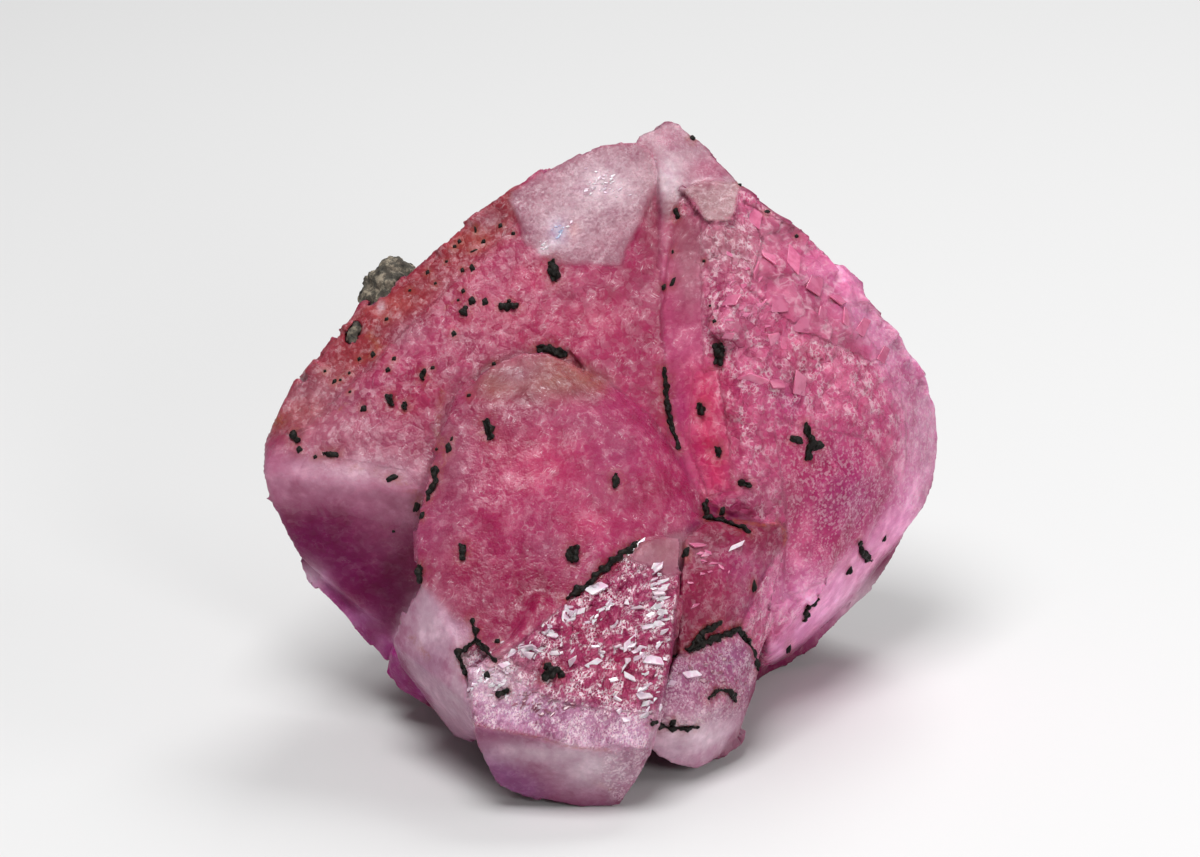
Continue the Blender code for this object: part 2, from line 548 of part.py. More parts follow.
def build_cluster(parts, helpers):
    """All the calcite, joined into the one body that it grew as."""
    grown = new_collection("grown_together", helpers)
    for seed, (name, (shown, buried)) in enumerate(CRYSTALS.items()):
        points = corner_points(shown, buried)
        mesh = rough_hull(name, points, FACE_SPLIT, FACE_RELIEF, FACE_RELIEF_SCALE, seed)
        new_helper(name, mesh, grown)
    for seed, (name, (shown, buried)) in enumerate(BROKEN_BLOCKS.items()):
        points = corner_points(shown, buried)
        mesh = rough_hull(name, points, BREAK_SPLIT, BREAK_RELIEF, BREAK_RELIEF_SCALE, seed)
        new_helper(name, mesh, grown)
    foot = [on_floor(x, y, -FOOT_BELOW) for x, y in FOOT_OUTLINE]
    foot += [on_floor(x, y, FOOT_RISE) for x, y in FOOT_TOP]
    mesh = rough_hull("calcite_cluster", foot, BREAK_SPLIT, BREAK_RELIEF, BREAK_RELIEF_SCALE, 0)
    cluster = new_part("calcite_cluster", mesh, parts, stone_material("pink_calcite", *PINK_CALCITE))
    combine(cluster, "grow_together", grown, "UNION")
    return cluster


def main():
    clear_scene()
    chance = random.Random(CHOICE_SEED)
    parts = new_collection("cobaltoan_calcite_specimen", bpy.context.scene.collection)
    helpers = new_collection("helpers", bpy.context.scene.collection)
    cluster = build_cluster(parts, helpers)

    plates = new_collection("plates_and_ledges", helpers)
    add_plates(surface_of(cluster), plates, chance)
    add_ledges(plates, chance)
    combine(cluster, "grow_plates", plates, "UNION")

    seats = new_collection("seats", helpers)
    dark = stone_material("dark_crystal", *DARK_CRYSTAL)
    add_dark_crystals(surface_of(cluster), parts, helpers, seats, dark)
    add_host_rock(parts, seats, stone_material("host_rock", *HOST_ROCK_STONE))
    new_helper("floor_cutter", floor_cutter(), seats)
    combine(cluster, "cut_seats", seats, "DIFFERENCE")
    merge_flat_faces(cluster)


main()
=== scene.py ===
"""Looks of the cobaltoan calcite specimen, laid out as an add-on.

Each operator models one piece, or a group of like pieces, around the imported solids: the
translucent calcite, the dark crystals seated in it, the fine dark specks, the host rock and
the stage."""
import math
import random

import bpy
import numpy as np
from bpy.props import FloatProperty, FloatVectorProperty, IntProperty, PointerProperty
from mathutils import Matrix, Vector, kdtree
from mathutils.bvhtree import BVHTree


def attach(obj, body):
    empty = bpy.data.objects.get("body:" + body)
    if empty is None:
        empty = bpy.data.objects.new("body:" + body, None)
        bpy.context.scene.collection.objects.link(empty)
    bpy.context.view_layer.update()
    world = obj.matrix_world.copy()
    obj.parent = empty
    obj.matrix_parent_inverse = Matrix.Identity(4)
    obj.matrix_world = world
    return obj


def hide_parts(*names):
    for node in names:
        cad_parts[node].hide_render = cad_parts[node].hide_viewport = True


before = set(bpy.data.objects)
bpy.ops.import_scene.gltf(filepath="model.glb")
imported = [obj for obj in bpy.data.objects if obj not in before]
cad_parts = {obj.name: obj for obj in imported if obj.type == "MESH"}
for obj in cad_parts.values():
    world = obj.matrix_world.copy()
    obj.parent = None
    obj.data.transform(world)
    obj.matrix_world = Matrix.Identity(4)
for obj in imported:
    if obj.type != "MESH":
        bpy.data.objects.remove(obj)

bl_info = {
    "name": "Cobaltoan calcite specimen",
    "version": (1, 0, 0),
    "blender": (4, 5, 0),
    "location": "3D View > Sidebar > Calcite",
    "description": "Models the finish of a cobaltoan calcite specimen around its solids",
    "category": "Add Mesh",
}

MM = 0.001
BODY = "root"

# The display side leans back. Places on it are given as (across, up) in millimetres from the
# tip of the front rhomb, which touches the resting plane at FRONT_TIP.
LEAN = math.radians(22.0)
FRONT_TIP = Vector((-0.03, -22.95, 0.0)) * MM
ACROSS = Vector((1.0, 0.0, 0.0))
UP = Vector((0.0, math.sin(LEAN), math.cos(LEAN)))
OUT = Vector((0.0, -math.cos(LEAN), math.sin(LEAN)))
LOOK_FROM = 100.0

DARK_NODES = sorted(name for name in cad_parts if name.startswith("dark_"))
ROCK_NODES = ("host_rock", "host_rock_chip")


def tone(red, green, blue):
    """A colour given as it looks on a screen, from 0 to 255, made linear."""
    return tuple(((value / 255.0 + 0.055) / 1.055) ** 2.4 for value in (red, green, blue))


def tone_four(red, green, blue):
    """A tone with full opacity, for a colour socket."""
    return (*tone(red, green, blue), 1.0)


# The tones of the calcite, by the zone that wears them.
TONES = {
    "shoulder": tone(156, 39, 84),
    "shoulder_rim": tone(139, 39, 50),
    "ridge_band": tone(169, 92, 126),
    # The underside is deep in colour and darker partly by painted shade.
    "underside": tone(112, 10, 65),
    "violet_rim": tone(142, 10, 106),
    "frosted": tone(151, 97, 114),
    "crown": tone(166, 131, 142),
    "cap": tone(153, 113, 119),
    "dome": tone(184, 75, 118),
    "coral": tone(204, 56, 104),
    "dome_foot": tone(165, 26, 89),
    # The pale_edge and lilac_edge tones are pale by painted glow of light through the thin rims.
    "pale_edge": tone(232, 140, 193),
    "lilac_edge": tone(227, 135, 188),
    # The break is deep in colour and darker partly by painted shade.
    "break": tone(112, 16, 66),
    "centre": tone(152, 43, 88),
    "beige": tone(136, 76, 83),
    "dusty": tone(144, 24, 72),
    "pale_lilac": tone(172, 119, 146),
    "rhomb": tone(149, 40, 88),
    "rhomb_sparkle": tone(178, 124, 158),
    "foot": tone(137, 69, 104),
    "mauve": tone(128, 62, 112),
    "lobe": tone(147, 75, 112),
    "rose": tone(166, 44, 84),
    "magenta": tone(158, 36, 104),
    "orange": tone(190, 92, 82),
    "brown": tone(150, 96, 72),
    # White also serves for painted glints, sparkle, reflections and glow, and ice only for painted iridescent
    # glints.
    "white": tone(236, 220, 228),
    "plate_pink": tone(212, 118, 152),
    "ice": tone(190, 205, 240),
    "lilac": tone(192, 112, 168),
    "deep_magenta": tone(112, 0, 74),
    "wedge": tone(127, 10, 58),
}

# The tones of the faces that are deep in colour and take little light from around; the underside and the
# break are also darker partly by painted shade.
DEEP_TONES = ("underside", "violet_rim", "break")

# How much the faces and the deep faces reflect; the white of the painted highlights on plate edges, of the
# painted glints, sparkle and reflections, and of the internal veils; and how light spreads inside the
# calcite.
FACE_REFLECTION = 0.2
DEEP_FACE_REFLECTION = 0.07
GLINT_AND_VEIL_WHITE = (0.92, 0.74, 0.80, 1.0)
LIGHT_SPREAD = (1.0, 0.4, 0.55)
CALCITE_IOR = 1.6

# How a zone is finished: the weights of growth plates, stipple, gloss, and the painted needle glints with the
# veils, the turn of its plates in degrees, their width in millimetres, and how far they are stretched
# upwards.
FINISHES = {
    "mosaic": (0.85, 0.2, 0.7, 0.4, 60.0, 1.3, 1.0),
    "flank": (0.3, 0.1, 0.5, 1.0, 60.0, 1.3, 1.2),
    "columns": (0.7, 0.0, 0.6, 0.2, 75.0, 2.2, 1.7),
    "granular": (0.2, 0.75, 0.3, 0.05, 60.0, 0.8, 1.0),
    "satin": (0.48, 0.2, 0.5, 1.0, 25.0, 1.7, 1.0),
    "rough_satin": (0.55, 0.2, 0.45, 0.4, 25.0, 1.4, 1.0),
    "frost": (0.12, 0.35, 0.6, 0.1, 25.0, 0.9, 1.0),
    "glassy": (0.32, 0.1, 0.7, 1.0, 110.0, 2.0, 1.0),
    "bright_plates": (1.0, 0.1, 1.0, 0.3, 112.0, 1.1, 0.6),
    "bright_sparkle": (0.7, 0.9, 1.0, 0.3, 112.0, 0.8, 0.7),
    "smooth": (0.05, 0.1, 0.4, 0.1, 38.0, 1.6, 1.0),
    "sparkle": (0.4, 0.9, 0.6, 0.0, 5.0, 0.7, 1.0),
    "satin_dark": (0.3, 0.05, 0.3, 0.12, 75.0, 1.8, 1.8),
    "broken": (0.25, 0.1, 0.4, 0.3, 20.0, 3.2, 1.0),
}

# The zones of the display side, painted in this order: tone, finish, the soft width of the
# edge and the outline, in millimetres.
ZONES = (
    ("dome", "mosaic", 0.3, ((6.9, 59.5), (8.0, 61.0), (13.8, 61.5), (18.7, 57.7), (24.7, 52.3),
     (29.9, 46.5), (33.7, 40.8), (35.5, 33.0), (32.5, 27.0), (26.5, 22.2), (21.7, 16.5), (16.3, 12.7),
     (13.5, 17.2), (18.2, 27.0), (10.2, 29.8), (6.5, 39.0), (5.7, 52.0))),
    ("dome", "columns", 0.5, ((14.0, 60.0), (16.0, 56.0), (14.5, 51.0), (20.0, 47.0), (27.0, 44.0),
     (31.5, 44.5), (28.0, 49.5), (22.0, 56.0))),
    ("dome", "flank", 0.8, ((5.7, 58.0), (9.7, 58.5), (10.0, 44.0), (9.5, 30.0), (6.5, 38.0),
     (5.5, 50.0))),
    ("magenta", "flank", 2.6, ((6.5, 40.0), (9.0, 40.0), (15.0, 30.5), (12.0, 30.0), (8.5, 34.0))),
    ("coral", "satin", 2.2, ((9.0, 43.0), (11.5, 43.0), (12.5, 36.0), (13.0, 31.0), (10.5, 30.5),
     (8.5, 36.0))),
    ("dome_foot", "granular", 3.0, ((17.0, 38.0), (27.0, 36.0), (31.0, 30.0), (25.0, 23.0),
     (18.0, 20.0), (18.5, 28.0))),
    # Painted glow of light through the thin edges: the pale right rim and the lilac lower right rim.
    ("pale_edge", "granular", 2.2, ((26.7, 50.0), (36.0, 43.0), (36.0, 31.0), (32.5, 26.0),
     (29.0, 28.5), (30.8, 34.0), (30.6, 39.0), (28.5, 44.0), (24.5, 49.5))),
    ("lilac_edge", "smooth", 1.2, ((33.0, 27.5), (28.2, 23.8), (26.0, 20.8), (21.7, 16.5), (17.7, 12.7),
     (16.5, 15.0), (21.2, 19.5), (25.0, 24.5), (29.0, 29.0))),
    # The broken back at the lower right: deep in colour, and darker partly by painted shade.
    ("break", "broken", 0.4, ((32.6, 27.6), (31.8, 22.0), (26.0, 15.0), (21.0, 11.5), (16.0, 11.5),
     (16.3, 12.7), (21.7, 16.3), (26.0, 20.4), (28.0, 23.6))),
    ("crown", "frost", 0.4, ((3.0, 66.4), (4.9, 68.0), (8.0, 68.0), (14.0, 61.8), (9.7, 61.8),
     (7.9, 60.5), (6.2, 58.0), (5.6, 63.0))),
    ("cap", "frost", 0.15, ((7.9, 61.0), (9.7, 62.2), (13.8, 62.0), (13.2, 58.9), (12.6, 57.9),
     (10.2, 57.9), (9.3, 59.8))),
    ("shoulder", "satin", 0.3, ((-34.5, 34.0), (-30.3, 34.2), (-26.3, 33.3), (-20.3, 31.8),
     (-18.3, 30.0), (-17.0, 34.0), (-15.3, 39.5), (-9.0, 44.7), (-5.8, 44.8), (0.0, 42.0), (4.5, 38.0),
     (6.5, 36.0), (6.0, 47.0), (5.5, 58.0), (5.6, 63.5), (3.7, 66.5), (-0.3, 66.4), (-9.5, 62.0),
     (-24.0, 50.0), (-34.5, 38.0))),
    ("shoulder_rim", "rough_satin", 1.4, ((-35.0, 36.0), (-30.5, 41.5), (-26.0, 47.5), (-17.5, 55.0),
     (-9.0, 62.5), (-7.3, 59.0), (-15.3, 51.5), (-23.3, 43.5), (-30.0, 37.0))),
    # The underside: deep in colour, and darker partly by painted shade.
    ("underside", "satin_dark", 0.5, ((-34.5, 32.5), (-30.3, 31.8), (-25.3, 31.4), (-18.8, 30.6),
     (-18.6, 25.5), (-17.9, 22.2), (-20.3, 18.2), (-21.5, 15.8), (-22.6, 13.5), (-26.0, 16.0),
     (-31.5, 20.0), (-33.5, 26.0))),
    ("ridge_band", "satin_dark", 1.7, ((-35.5, 35.4), (-30.3, 34.6), (-25.3, 34.0), (-19.5, 33.0),
     (-17.8, 31.2), (-18.0, 27.3), (-21.3, 27.8), (-27.3, 29.0), (-34.5, 29.0))),
    ("violet_rim", "broken", 1.0, ((-34.5, 30.5), (-31.5, 27.0), (-30.3, 23.0), (-26.5, 20.3),
     (-23.5, 16.5), (-22.0, 14.0), (-24.0, 13.0), (-33.0, 19.0), (-36.0, 27.0))),
    ("frosted", "frost", 0.25, ((-9.1, 60.9), (-9.4, 60.0), (-8.3, 57.8), (-7.9, 56.0), (-4.8, 53.8),
     (-0.3, 53.6), (1.7, 53.5), (2.2, 55.0), (3.7, 57.8), (4.7, 60.0), (5.6, 62.4), (5.5, 64.8),
     (3.7, 66.6), (-0.3, 66.4))),
    ("centre", "glassy", 0.3, ((-5.8, 44.8), (-8.8, 44.7), (-12.3, 42.7), (-15.3, 39.5), (-17.0, 33.5),
     (-18.3, 30.0), (-18.6, 25.5), (-17.9, 22.2), (-16.3, 20.0), (-12.9, 18.0), (-12.5, 16.0),
     (-10.6, 14.5), (-5.8, 18.2), (3.7, 25.9), (7.7, 26.7), (10.2, 29.0), (8.7, 32.0), (4.7, 38.5),
     (-0.3, 42.5))),
    ("beige", "glassy", 1.5, ((-6.0, 45.2), (-12.0, 43.5), (-13.0, 41.0), (-7.0, 39.5), (-1.0, 40.0),
     (1.0, 42.0))),
    ("dusty", "glassy", 2.5, ((-18.0, 25.0), (-8.0, 25.0), (-3.0, 20.0), (-9.0, 15.5), (-13.0, 17.5),
     (-18.0, 22.0))),
    ("pale_lilac", "smooth", 0.5, ((-17.8, 21.7), (-19.1, 20.0), (-20.3, 18.2), (-21.5, 15.8),
     (-20.8, 15.3), (-19.3, 12.8), (-17.3, 10.3), (-14.9, 6.0), (-12.5, 6.0), (-12.5, 8.0),
     (-13.3, 12.0), (-14.3, 15.2), (-12.6, 16.0), (-12.9, 18.0), (-14.8, 18.2), (-16.3, 20.0))),
    ("violet_rim", "broken", 0.5, ((-22.0, 16.0), (-20.6, 15.2), (-19.0, 12.5), (-17.0, 10.2),
     (-19.0, 9.5), (-22.5, 12.0))),
    ("wedge", "rough_satin", 0.3, ((7.7, 26.0), (10.4, 28.2), (14.5, 27.2), (18.2, 27.7), (18.5, 26.0),
     (15.4, 22.0), (13.6, 17.2), (7.0, 14.5), (7.2, 20.0))),
    ("rhomb", "bright_plates", 0.2, ((7.8, 26.7), (3.7, 25.9), (-3.3, 20.3), (-8.8, 15.5),
     (-10.6, 14.5), (-12.5, 16.0), (-14.3, 15.2), (-13.3, 12.0), (-12.5, 7.9), (-6.3, 6.8), (-2.3, 5.8),
     (4.6, 5.3), (6.6, 14.5), (7.8, 25.2))),
    ("frosted", "smooth", 0.4, ((2.8, 24.2), (3.9, 25.9), (7.8, 26.8), (7.9, 23.0), (6.4, 22.6),
     (5.2, 23.4))),
    ("rhomb_sparkle", "bright_sparkle", 1.4, ((-13.6, 14.8), (-9.5, 13.0), (-5.0, 10.5), (0.5, 9.5),
     (5.4, 9.0), (4.6, 5.3), (-2.3, 5.8), (-6.3, 6.8), (-12.5, 7.9))),
    ("foot", "smooth", 0.3, ((-12.5, 7.9), (-6.3, 6.8), (-2.3, 5.8), (4.6, 5.3), (3.2, 2.0),
     (1.7, -1.0), (-3.0, -1.0), (-9.0, 0.5), (-11.0, 2.0), (-12.9, 6.0))),
    ("mauve", "smooth", 1.5, ((-12.9, 6.0), (-9.0, 4.4), (-5.5, 1.6), (-7.5, -0.6), (-12.5, 1.5))),
    ("foot", "sparkle", 0.6, ((0.2, 6.0), (4.8, 5.6), (3.4, 2.0), (2.0, -0.5), (0.8, 0.5), (-0.6, 3.5))),
    ("lobe", "sparkle", 0.3, ((7.0, 14.5), (13.3, 17.2), (15.5, 13.2), (13.8, 8.0), (9.4, 2.5),
     (5.2, 4.3), (4.5, 5.4), (5.3, 10.0))),
    # Painted glow of light through the thin lobe: its pale bottom.
    ("pale_lilac", "smooth", 0.7, ((4.6, 7.6), (9.7, 7.4), (14.0, 8.5), (9.4, 2.5), (5.2, 4.0))),
)

# Soft patches of tone on the display side: tone, strength, across, up, and the half sizes of the ellipse in
# millimetres. Some are painted light: the small ice, white and orange flecks near up 55 to 57 at across -6 to
# -3, and the white fleck at across -22.3, are painted iridescent glints; the white patches on the frosted
# plate, at the lower left of the rhomb and on its foot are painted sparkle; the pale_edge patches and the
# white patches at across 27.2 and 9.4 are painted glow of light through the thin rims and the lobe.
PATCHES = (
    ("frosted", 0.7, -28.6, 40.0, 4.6, 2.8), ("frosted", 0.55, -19.6, 46.8, 2.2, 1.6),
    ("frosted", 0.5, -11.5, 58.0, 1.8, 1.1), ("beige", 0.5, -16.5, 52.0, 1.6, 1.2),
    ("frosted", 0.30, -16.0, 43.0, 1.6, 1.2), ("frosted", 0.45, -28.5, 35.8, 5.0, 1.6),
    ("rose", 0.55, -9.0, 47.4, 7.5, 2.0), ("rose", 0.5, -1.5, 48.6, 4.5, 2.2),
    ("rose", 0.5, -17.5, 40.0, 3.5, 2.0), ("rose", 0.4, -13.5, 52.5, 4.0, 1.8),
    ("coral", 0.35, -7.0, 52.2, 2.2, 1.6), ("beige", 0.45, 4.8, 59.0, 0.9, 4.5),
    ("frosted", 0.3, 4.0, 50.5, 1.6, 2.6), ("frosted", 0.25, -3.5, 51.0, 2.6, 1.2),
    ("orange", 0.3, -21.5, 49.6, 3.5, 1.2), ("orange", 0.3, -12.8, 56.2, 3.0, 1.2),
    ("orange", 0.3, -29.5, 39.0, 2.4, 1.4), ("frosted", 0.3, -22.2, 33.4, 3.0, 1.0),
    ("rose", 0.35, -26.0, 36.5, 3.0, 1.4), ("frosted", 0.3, -14.0, 46.2, 1.8, 1.0),
    ("frosted", 0.5, -8.6, 42.6, 2.2, 1.0), ("brown", 0.4, -4.0, 42.0, 2.6, 0.9),
    ("brown", 0.35, -11.0, 40.8, 1.6, 1.4), ("frosted", 0.3, -15.4, 36.0, 1.0, 3.0),
    ("coral", 0.45, -7.0, 33.5, 6.0, 3.6), ("rose", 0.45, 4.5, 31.0, 3.4, 4.0),
    ("coral", 0.4, -1.5, 28.0, 3.0, 2.0), ("rose", 0.4, -11.0, 28.0, 3.5, 3.0),
    ("frosted", 0.25, -16.2, 25.0, 1.6, 3.0), ("frosted", 0.25, -12.0, 20.5, 2.6, 1.8),
    ("dusty", 0.4, -7.0, 22.0, 4.0, 2.4), ("frosted", 0.25, -2.0, 37.5, 2.4, 1.6),
    ("magenta", 0.3, 1.5, 33.5, 2.4, 2.0), ("frosted", 0.25, 1.2, 35.8, 2.2, 2.6),
    ("frosted", 0.3, -5.5, 25.5, 1.8, 1.2), ("beige", 0.6, 8.0, 57.0, 2.0, 3.6),
    ("cap", 0.5, 8.6, 52.0, 1.6, 4.0), ("beige", 0.35, 12.5, 56.4, 2.0, 1.2),
    ("frosted", 0.35, 15.0, 53.0, 3.0, 2.6), ("frosted", 0.35, 20.0, 51.0, 3.0, 2.2),
    ("frosted", 0.3, 24.0, 46.0, 3.0, 2.6), ("frosted", 0.35, 13.4, 47.0, 2.4, 2.2),
    ("rose", 0.45, 20.4, 44.6, 2.2, 1.4), ("magenta", 0.6, 18.6, 40.0, 1.8, 1.6),
    ("rose", 0.3, 13.5, 37.5, 2.4, 4.2), ("white", 0.5, 27.2, 19.0, 3.0, 2.6),
    ("magenta", 0.65, 25.4, 31.0, 3.8, 3.4), ("magenta", 0.35, 23.0, 35.5, 3.0, 2.0),
    ("frosted", 0.35, 16.6, 30.6, 3.2, 1.8), ("pale_edge", 0.7, 20.5, 20.0, 4.6, 3.6),
    ("magenta", 0.6, 25.0, 29.0, 4.0, 3.6), ("frosted", 0.6, 31.6, 41.0, 2.8, 5.5),
    ("frosted", 0.5, 33.2, 34.5, 2.0, 5.0), ("magenta", 0.3, 28.4, 38.0, 2.4, 2.0),
    ("frosted", 0.3, 10.4, 25.2, 1.4, 1.2), ("rose", 0.45, 12.0, 21.5, 2.6, 2.2),
    ("magenta", 0.3, 14.4, 19.4, 1.6, 1.8), ("beige", 0.55, 6.0, 25.0, 1.6, 1.6),
    ("frosted", 0.45, 8.4, 25.6, 1.6, 1.4), ("magenta", 0.5, 13.6, 23.4, 2.2, 2.0),
    ("frosted", 0.35, 5.6, 21.4, 1.2, 2.6), ("rose", 0.5, -1.5, 17.5, 3.0, 2.2),
    ("rose", 0.55, 1.8, 13.4, 3.0, 2.4), ("white", 0.4, -10.4, 12.6, 3.0, 2.2),
    ("frosted", 0.3, -2.0, 8.0, 4.0, 1.2), ("white", 0.5, -0.6, 3.6, 3.8, 2.0),
    ("mauve", 0.45, 12.8, 14.6, 1.8, 1.6), ("mauve", 0.3, 7.4, 12.6, 1.4, 1.6),
    ("white", 0.5, 9.4, 6.8, 4.0, 2.4), ("violet_rim", 0.45, -20.6, 15.4, 1.2, 1.4),
    ("white", 0.3, -17.6, 18.0, 2.4, 3.0), ("white", 0.25, -14.6, 13.0, 1.4, 4.0),
    ("mauve", 0.35, -17.0, 14.2, 1.4, 1.2), ("ridge_band", 0.6, -21.4, 27.0, 3.6, 3.4),
    ("deep_magenta", 0.9, -29.0, 26.0, 4.6, 2.4), ("deep_magenta", 0.95, -25.6, 22.8, 4.2, 2.6),
    ("deep_magenta", 0.7, -21.8, 19.8, 2.6, 2.0), ("lilac", 0.8, -29.6, 21.4, 2.0, 1.8),
    ("white", 0.4, -29.8, 22.2, 1.4, 1.4), ("lilac", 0.7, -25.2, 18.0, 2.4, 1.0),
    ("lilac", 0.5, -22.4, 15.6, 1.0, 1.4), ("frosted", 0.25, -31.6, 29.0, 1.4, 1.6),
    ("white", 0.5, 6.6, 62.4, 1.3, 2.0), ("dome", 0.45, 10.5, 63.2, 2.0, 1.5),
    ("dome", 0.3, 6.4, 66.4, 1.6, 1.2), ("ice", 0.45, -4.5, 56.9, 0.8, 1.1),
    ("white", 0.5, -5.1, 55.6, 0.5, 0.5), ("orange", 0.5, -3.0, 57.2, 0.5, 0.8),
    ("white", 0.7, -22.3, 49.4, 0.35, 0.5), ("white", 0.6, -6.0, 54.9, 0.6, 0.4),
    ("white", 0.4, 0.0, 61.6, 3.6, 2.6), ("white", 0.25, -4.0, 57.6, 3.0, 2.4),
    ("frosted", 0.45, -24.2, 36.4, 6.0, 2.2), ("white", 0.3, -25.0, 32.8, 7.0, 1.6),
    ("frosted", 0.45, -20.0, 31.0, 3.2, 2.6), ("white", 0.4, -6.0, 5.4, 6.0, 1.2),
    ("frosted", 0.4, -14.5, 33.0, 1.6, 6.0), ("beige", 0.3, -10.0, 37.0, 5.0, 3.0),
    ("frosted", 0.3, 0.6, 30.6, 3.6, 2.4), ("pale_edge", 0.5, 24.5, 53.0, 3.6, 3.0),
    ("frosted", 0.45, 28.4, 47.6, 2.6, 3.0), ("frosted", 0.5, 17.5, 57.0, 3.0, 1.8),
    ("frosted", 0.35, 30.0, 45.5, 2.2, 1.4), ("frosted", 0.4, 26.5, 49.5, 2.4, 1.2),
    ("cap", 0.6, 12.0, 55.4, 3.6, 2.4), ("frosted", 0.4, 18.8, 42.4, 1.6, 1.2),
    ("frosted", 0.3, 21.5, 47.8, 2.0, 1.8), ("frosted", 0.45, 33.0, 30.0, 1.4, 2.0),
    ("magenta", 0.35, 31.0, 24.6, 1.4, 1.2),
)

# The bright growth plates that stand on the faces, by tone: across, up, length, width and turn in degrees.
# The white of the white plates is painted reflection on their flat tops.
BRIGHT_PLATES = {
    "white": (
        (2.7, 24.9, 2.6, 0.8, 38.0), (-0.5, 21.5, 1.9, 1.1, 30.0), (-3.6, 18.5, 2.1, 1.6, 10.0),
        (0.6, 19.9, 0.9, 0.7, 40.0), (-7.3, 15.7, 1.5, 0.8, 25.0), (-4.7, 15.1, 0.9, 0.5, 0.0),
        (-3.1, 14.2, 1.2, 0.8, 45.0), (-0.8, 14.2, 1.5, 0.7, 35.0), (2.4, 15.9, 1.7, 0.7, 35.0),
        (3.3, 14.5, 1.0, 0.6, 10.0), (5.0, 17.9, 2.3, 0.7, 12.0), (3.2, 19.5, 1.8, 0.5, -10.0),
        (5.4, 19.6, 1.4, 0.6, 15.0), (5.0, 14.4, 2.2, 1.1, -8.0), (2.7, 12.7, 1.2, 0.6, -15.0),
        (1.1, 12.5, 0.8, 0.5, 10.0), (4.2, 10.9, 1.4, 0.7, 10.0), (1.4, 10.6, 0.9, 0.5, -20.0),
        (2.3, 8.6, 0.9, 0.5, 15.0), (3.9, 8.9, 1.4, 0.5, 10.0), (5.2, 23.2, 1.3, 0.5, 35.0),
        (5.9, 22.0, 1.2, 0.5, 20.0), (5.6, 20.9, 1.1, 0.5, 5.0), (-9.6, 14.0, 1.0, 0.6, 30.0),
        (8.9, 12.9, 1.9, 0.8, 25.0), (13.0, 25.4, 1.6, 0.4, 25.0),
    ),
    "plate_pink": (
        (9.5, 25.6, 1.5, 0.7, 30.0), (19.1, 53.8, 2.8, 1.5, 84.0), (21.4, 52.0, 3.4, 1.9, 75.0),
        (23.9, 50.2, 2.6, 1.5, 68.0), (16.6, 54.4, 2.4, 1.5, 92.0), (26.3, 47.6, 2.4, 1.3, 62.0),
        (15.2, 58.0, 2.0, 1.3, 80.0), (22.0, 48.6, 2.4, 1.7, 80.0), (28.4, 44.8, 2.2, 1.2, 60.0),
        (17.0, 41.9, 1.6, 2.3, 30.0), (19.8, 41.6, 1.8, 2.4, -25.0), (14.6, 42.2, 2.4, 1.2, -30.0),
        (12.6, 49.9, 1.5, 1.1, 0.0), (17.4, 49.6, 2.0, 1.8, 15.0), (20.0, 47.6, 1.6, 2.0, -10.0),
        (17.2, 46.2, 1.8, 1.4, 10.0), (24.4, 48.4, 1.4, 2.2, -10.0), (15.2, 52.4, 1.6, 1.6, 20.0),
    ),
}

# Crowds of small bright plates: tone, across, up, half width, half height, how many, and their size. Their
# white and ice tints are painted light: reflections on the rhomb, and sparkle and iridescent glints on the
# frosted plate.
PLATE_CROWDS = (
    ("white", -8.0, 15.2, 3.0, 0.8, 22, 0.6), ("white", -5.4, 17.2, 0.7, 0.7, 9, 0.6),
    ("white", -3.0, 19.2, 0.7, 0.7, 8, 0.6), ("white", -0.8, 21.2, 0.6, 0.6, 6, 0.5),
    ("white", 0.2, 19.2, 2.2, 1.4, 14, 0.5), ("white", 5.5, 19.6, 0.8, 4.0, 34, 0.6),
    ("white", 1.6, 15.2, 3.4, 1.2, 16, 0.55), ("white", 4.4, 10.6, 1.6, 3.2, 24, 0.5),
    ("white", -10.6, 12.4, 2.2, 1.6, 30, 0.4), ("frosted", -6.0, 10.2, 3.4, 1.8, 46, 0.35),
    ("frosted", 10.4, 13.0, 3.0, 2.2, 22, 0.35), ("plate_pink", 14.6, 49.0, 2.6, 4.6, 26, 0.7),
    ("plate_pink", 10.6, 22.6, 2.6, 2.8, 14, 0.5), ("white", 0.0, 61.6, 2.0, 1.6, 30, 0.3),
    ("ice", -4.4, 56.9, 0.4, 1.0, 12, 0.28), ("white", -5.8, 55.3, 0.5, 0.5, 12, 0.25),
    ("white", -3.4, 57.6, 0.5, 0.5, 8, 0.2),
)

# Zones whose relief is worn smooth: the soft width of the edge and the outline, in millimetres.
SOFT_ZONES = (
    (1.5, ((-35.0, 38.0), (-26.0, 40.0), (-17.0, 37.0), (-18.0, 24.0), (-26.0, 24.0), (-35.0, 27.0))),
    (1.2, ((-13.0, 38.0), (-4.0, 40.0), (3.0, 37.0), (8.0, 30.0), (3.0, 28.0), (-6.0, 20.5),
     (-11.0, 17.5), (-16.0, 22.0), (-16.5, 30.0))),
    (0.7, ((-12.8, 17.6), (-10.4, 15.6), (-4.0, 20.4), (-0.4, 23.4), (-1.0, 25.0), (-8.0, 27.0),
     (-16.0, 24.0), (-16.6, 21.0))),
    (1.2, ((-24.0, 46.0), (-12.0, 56.0), (4.0, 50.0), (4.0, 44.0), (-6.0, 47.0), (-17.0, 38.0))),
)

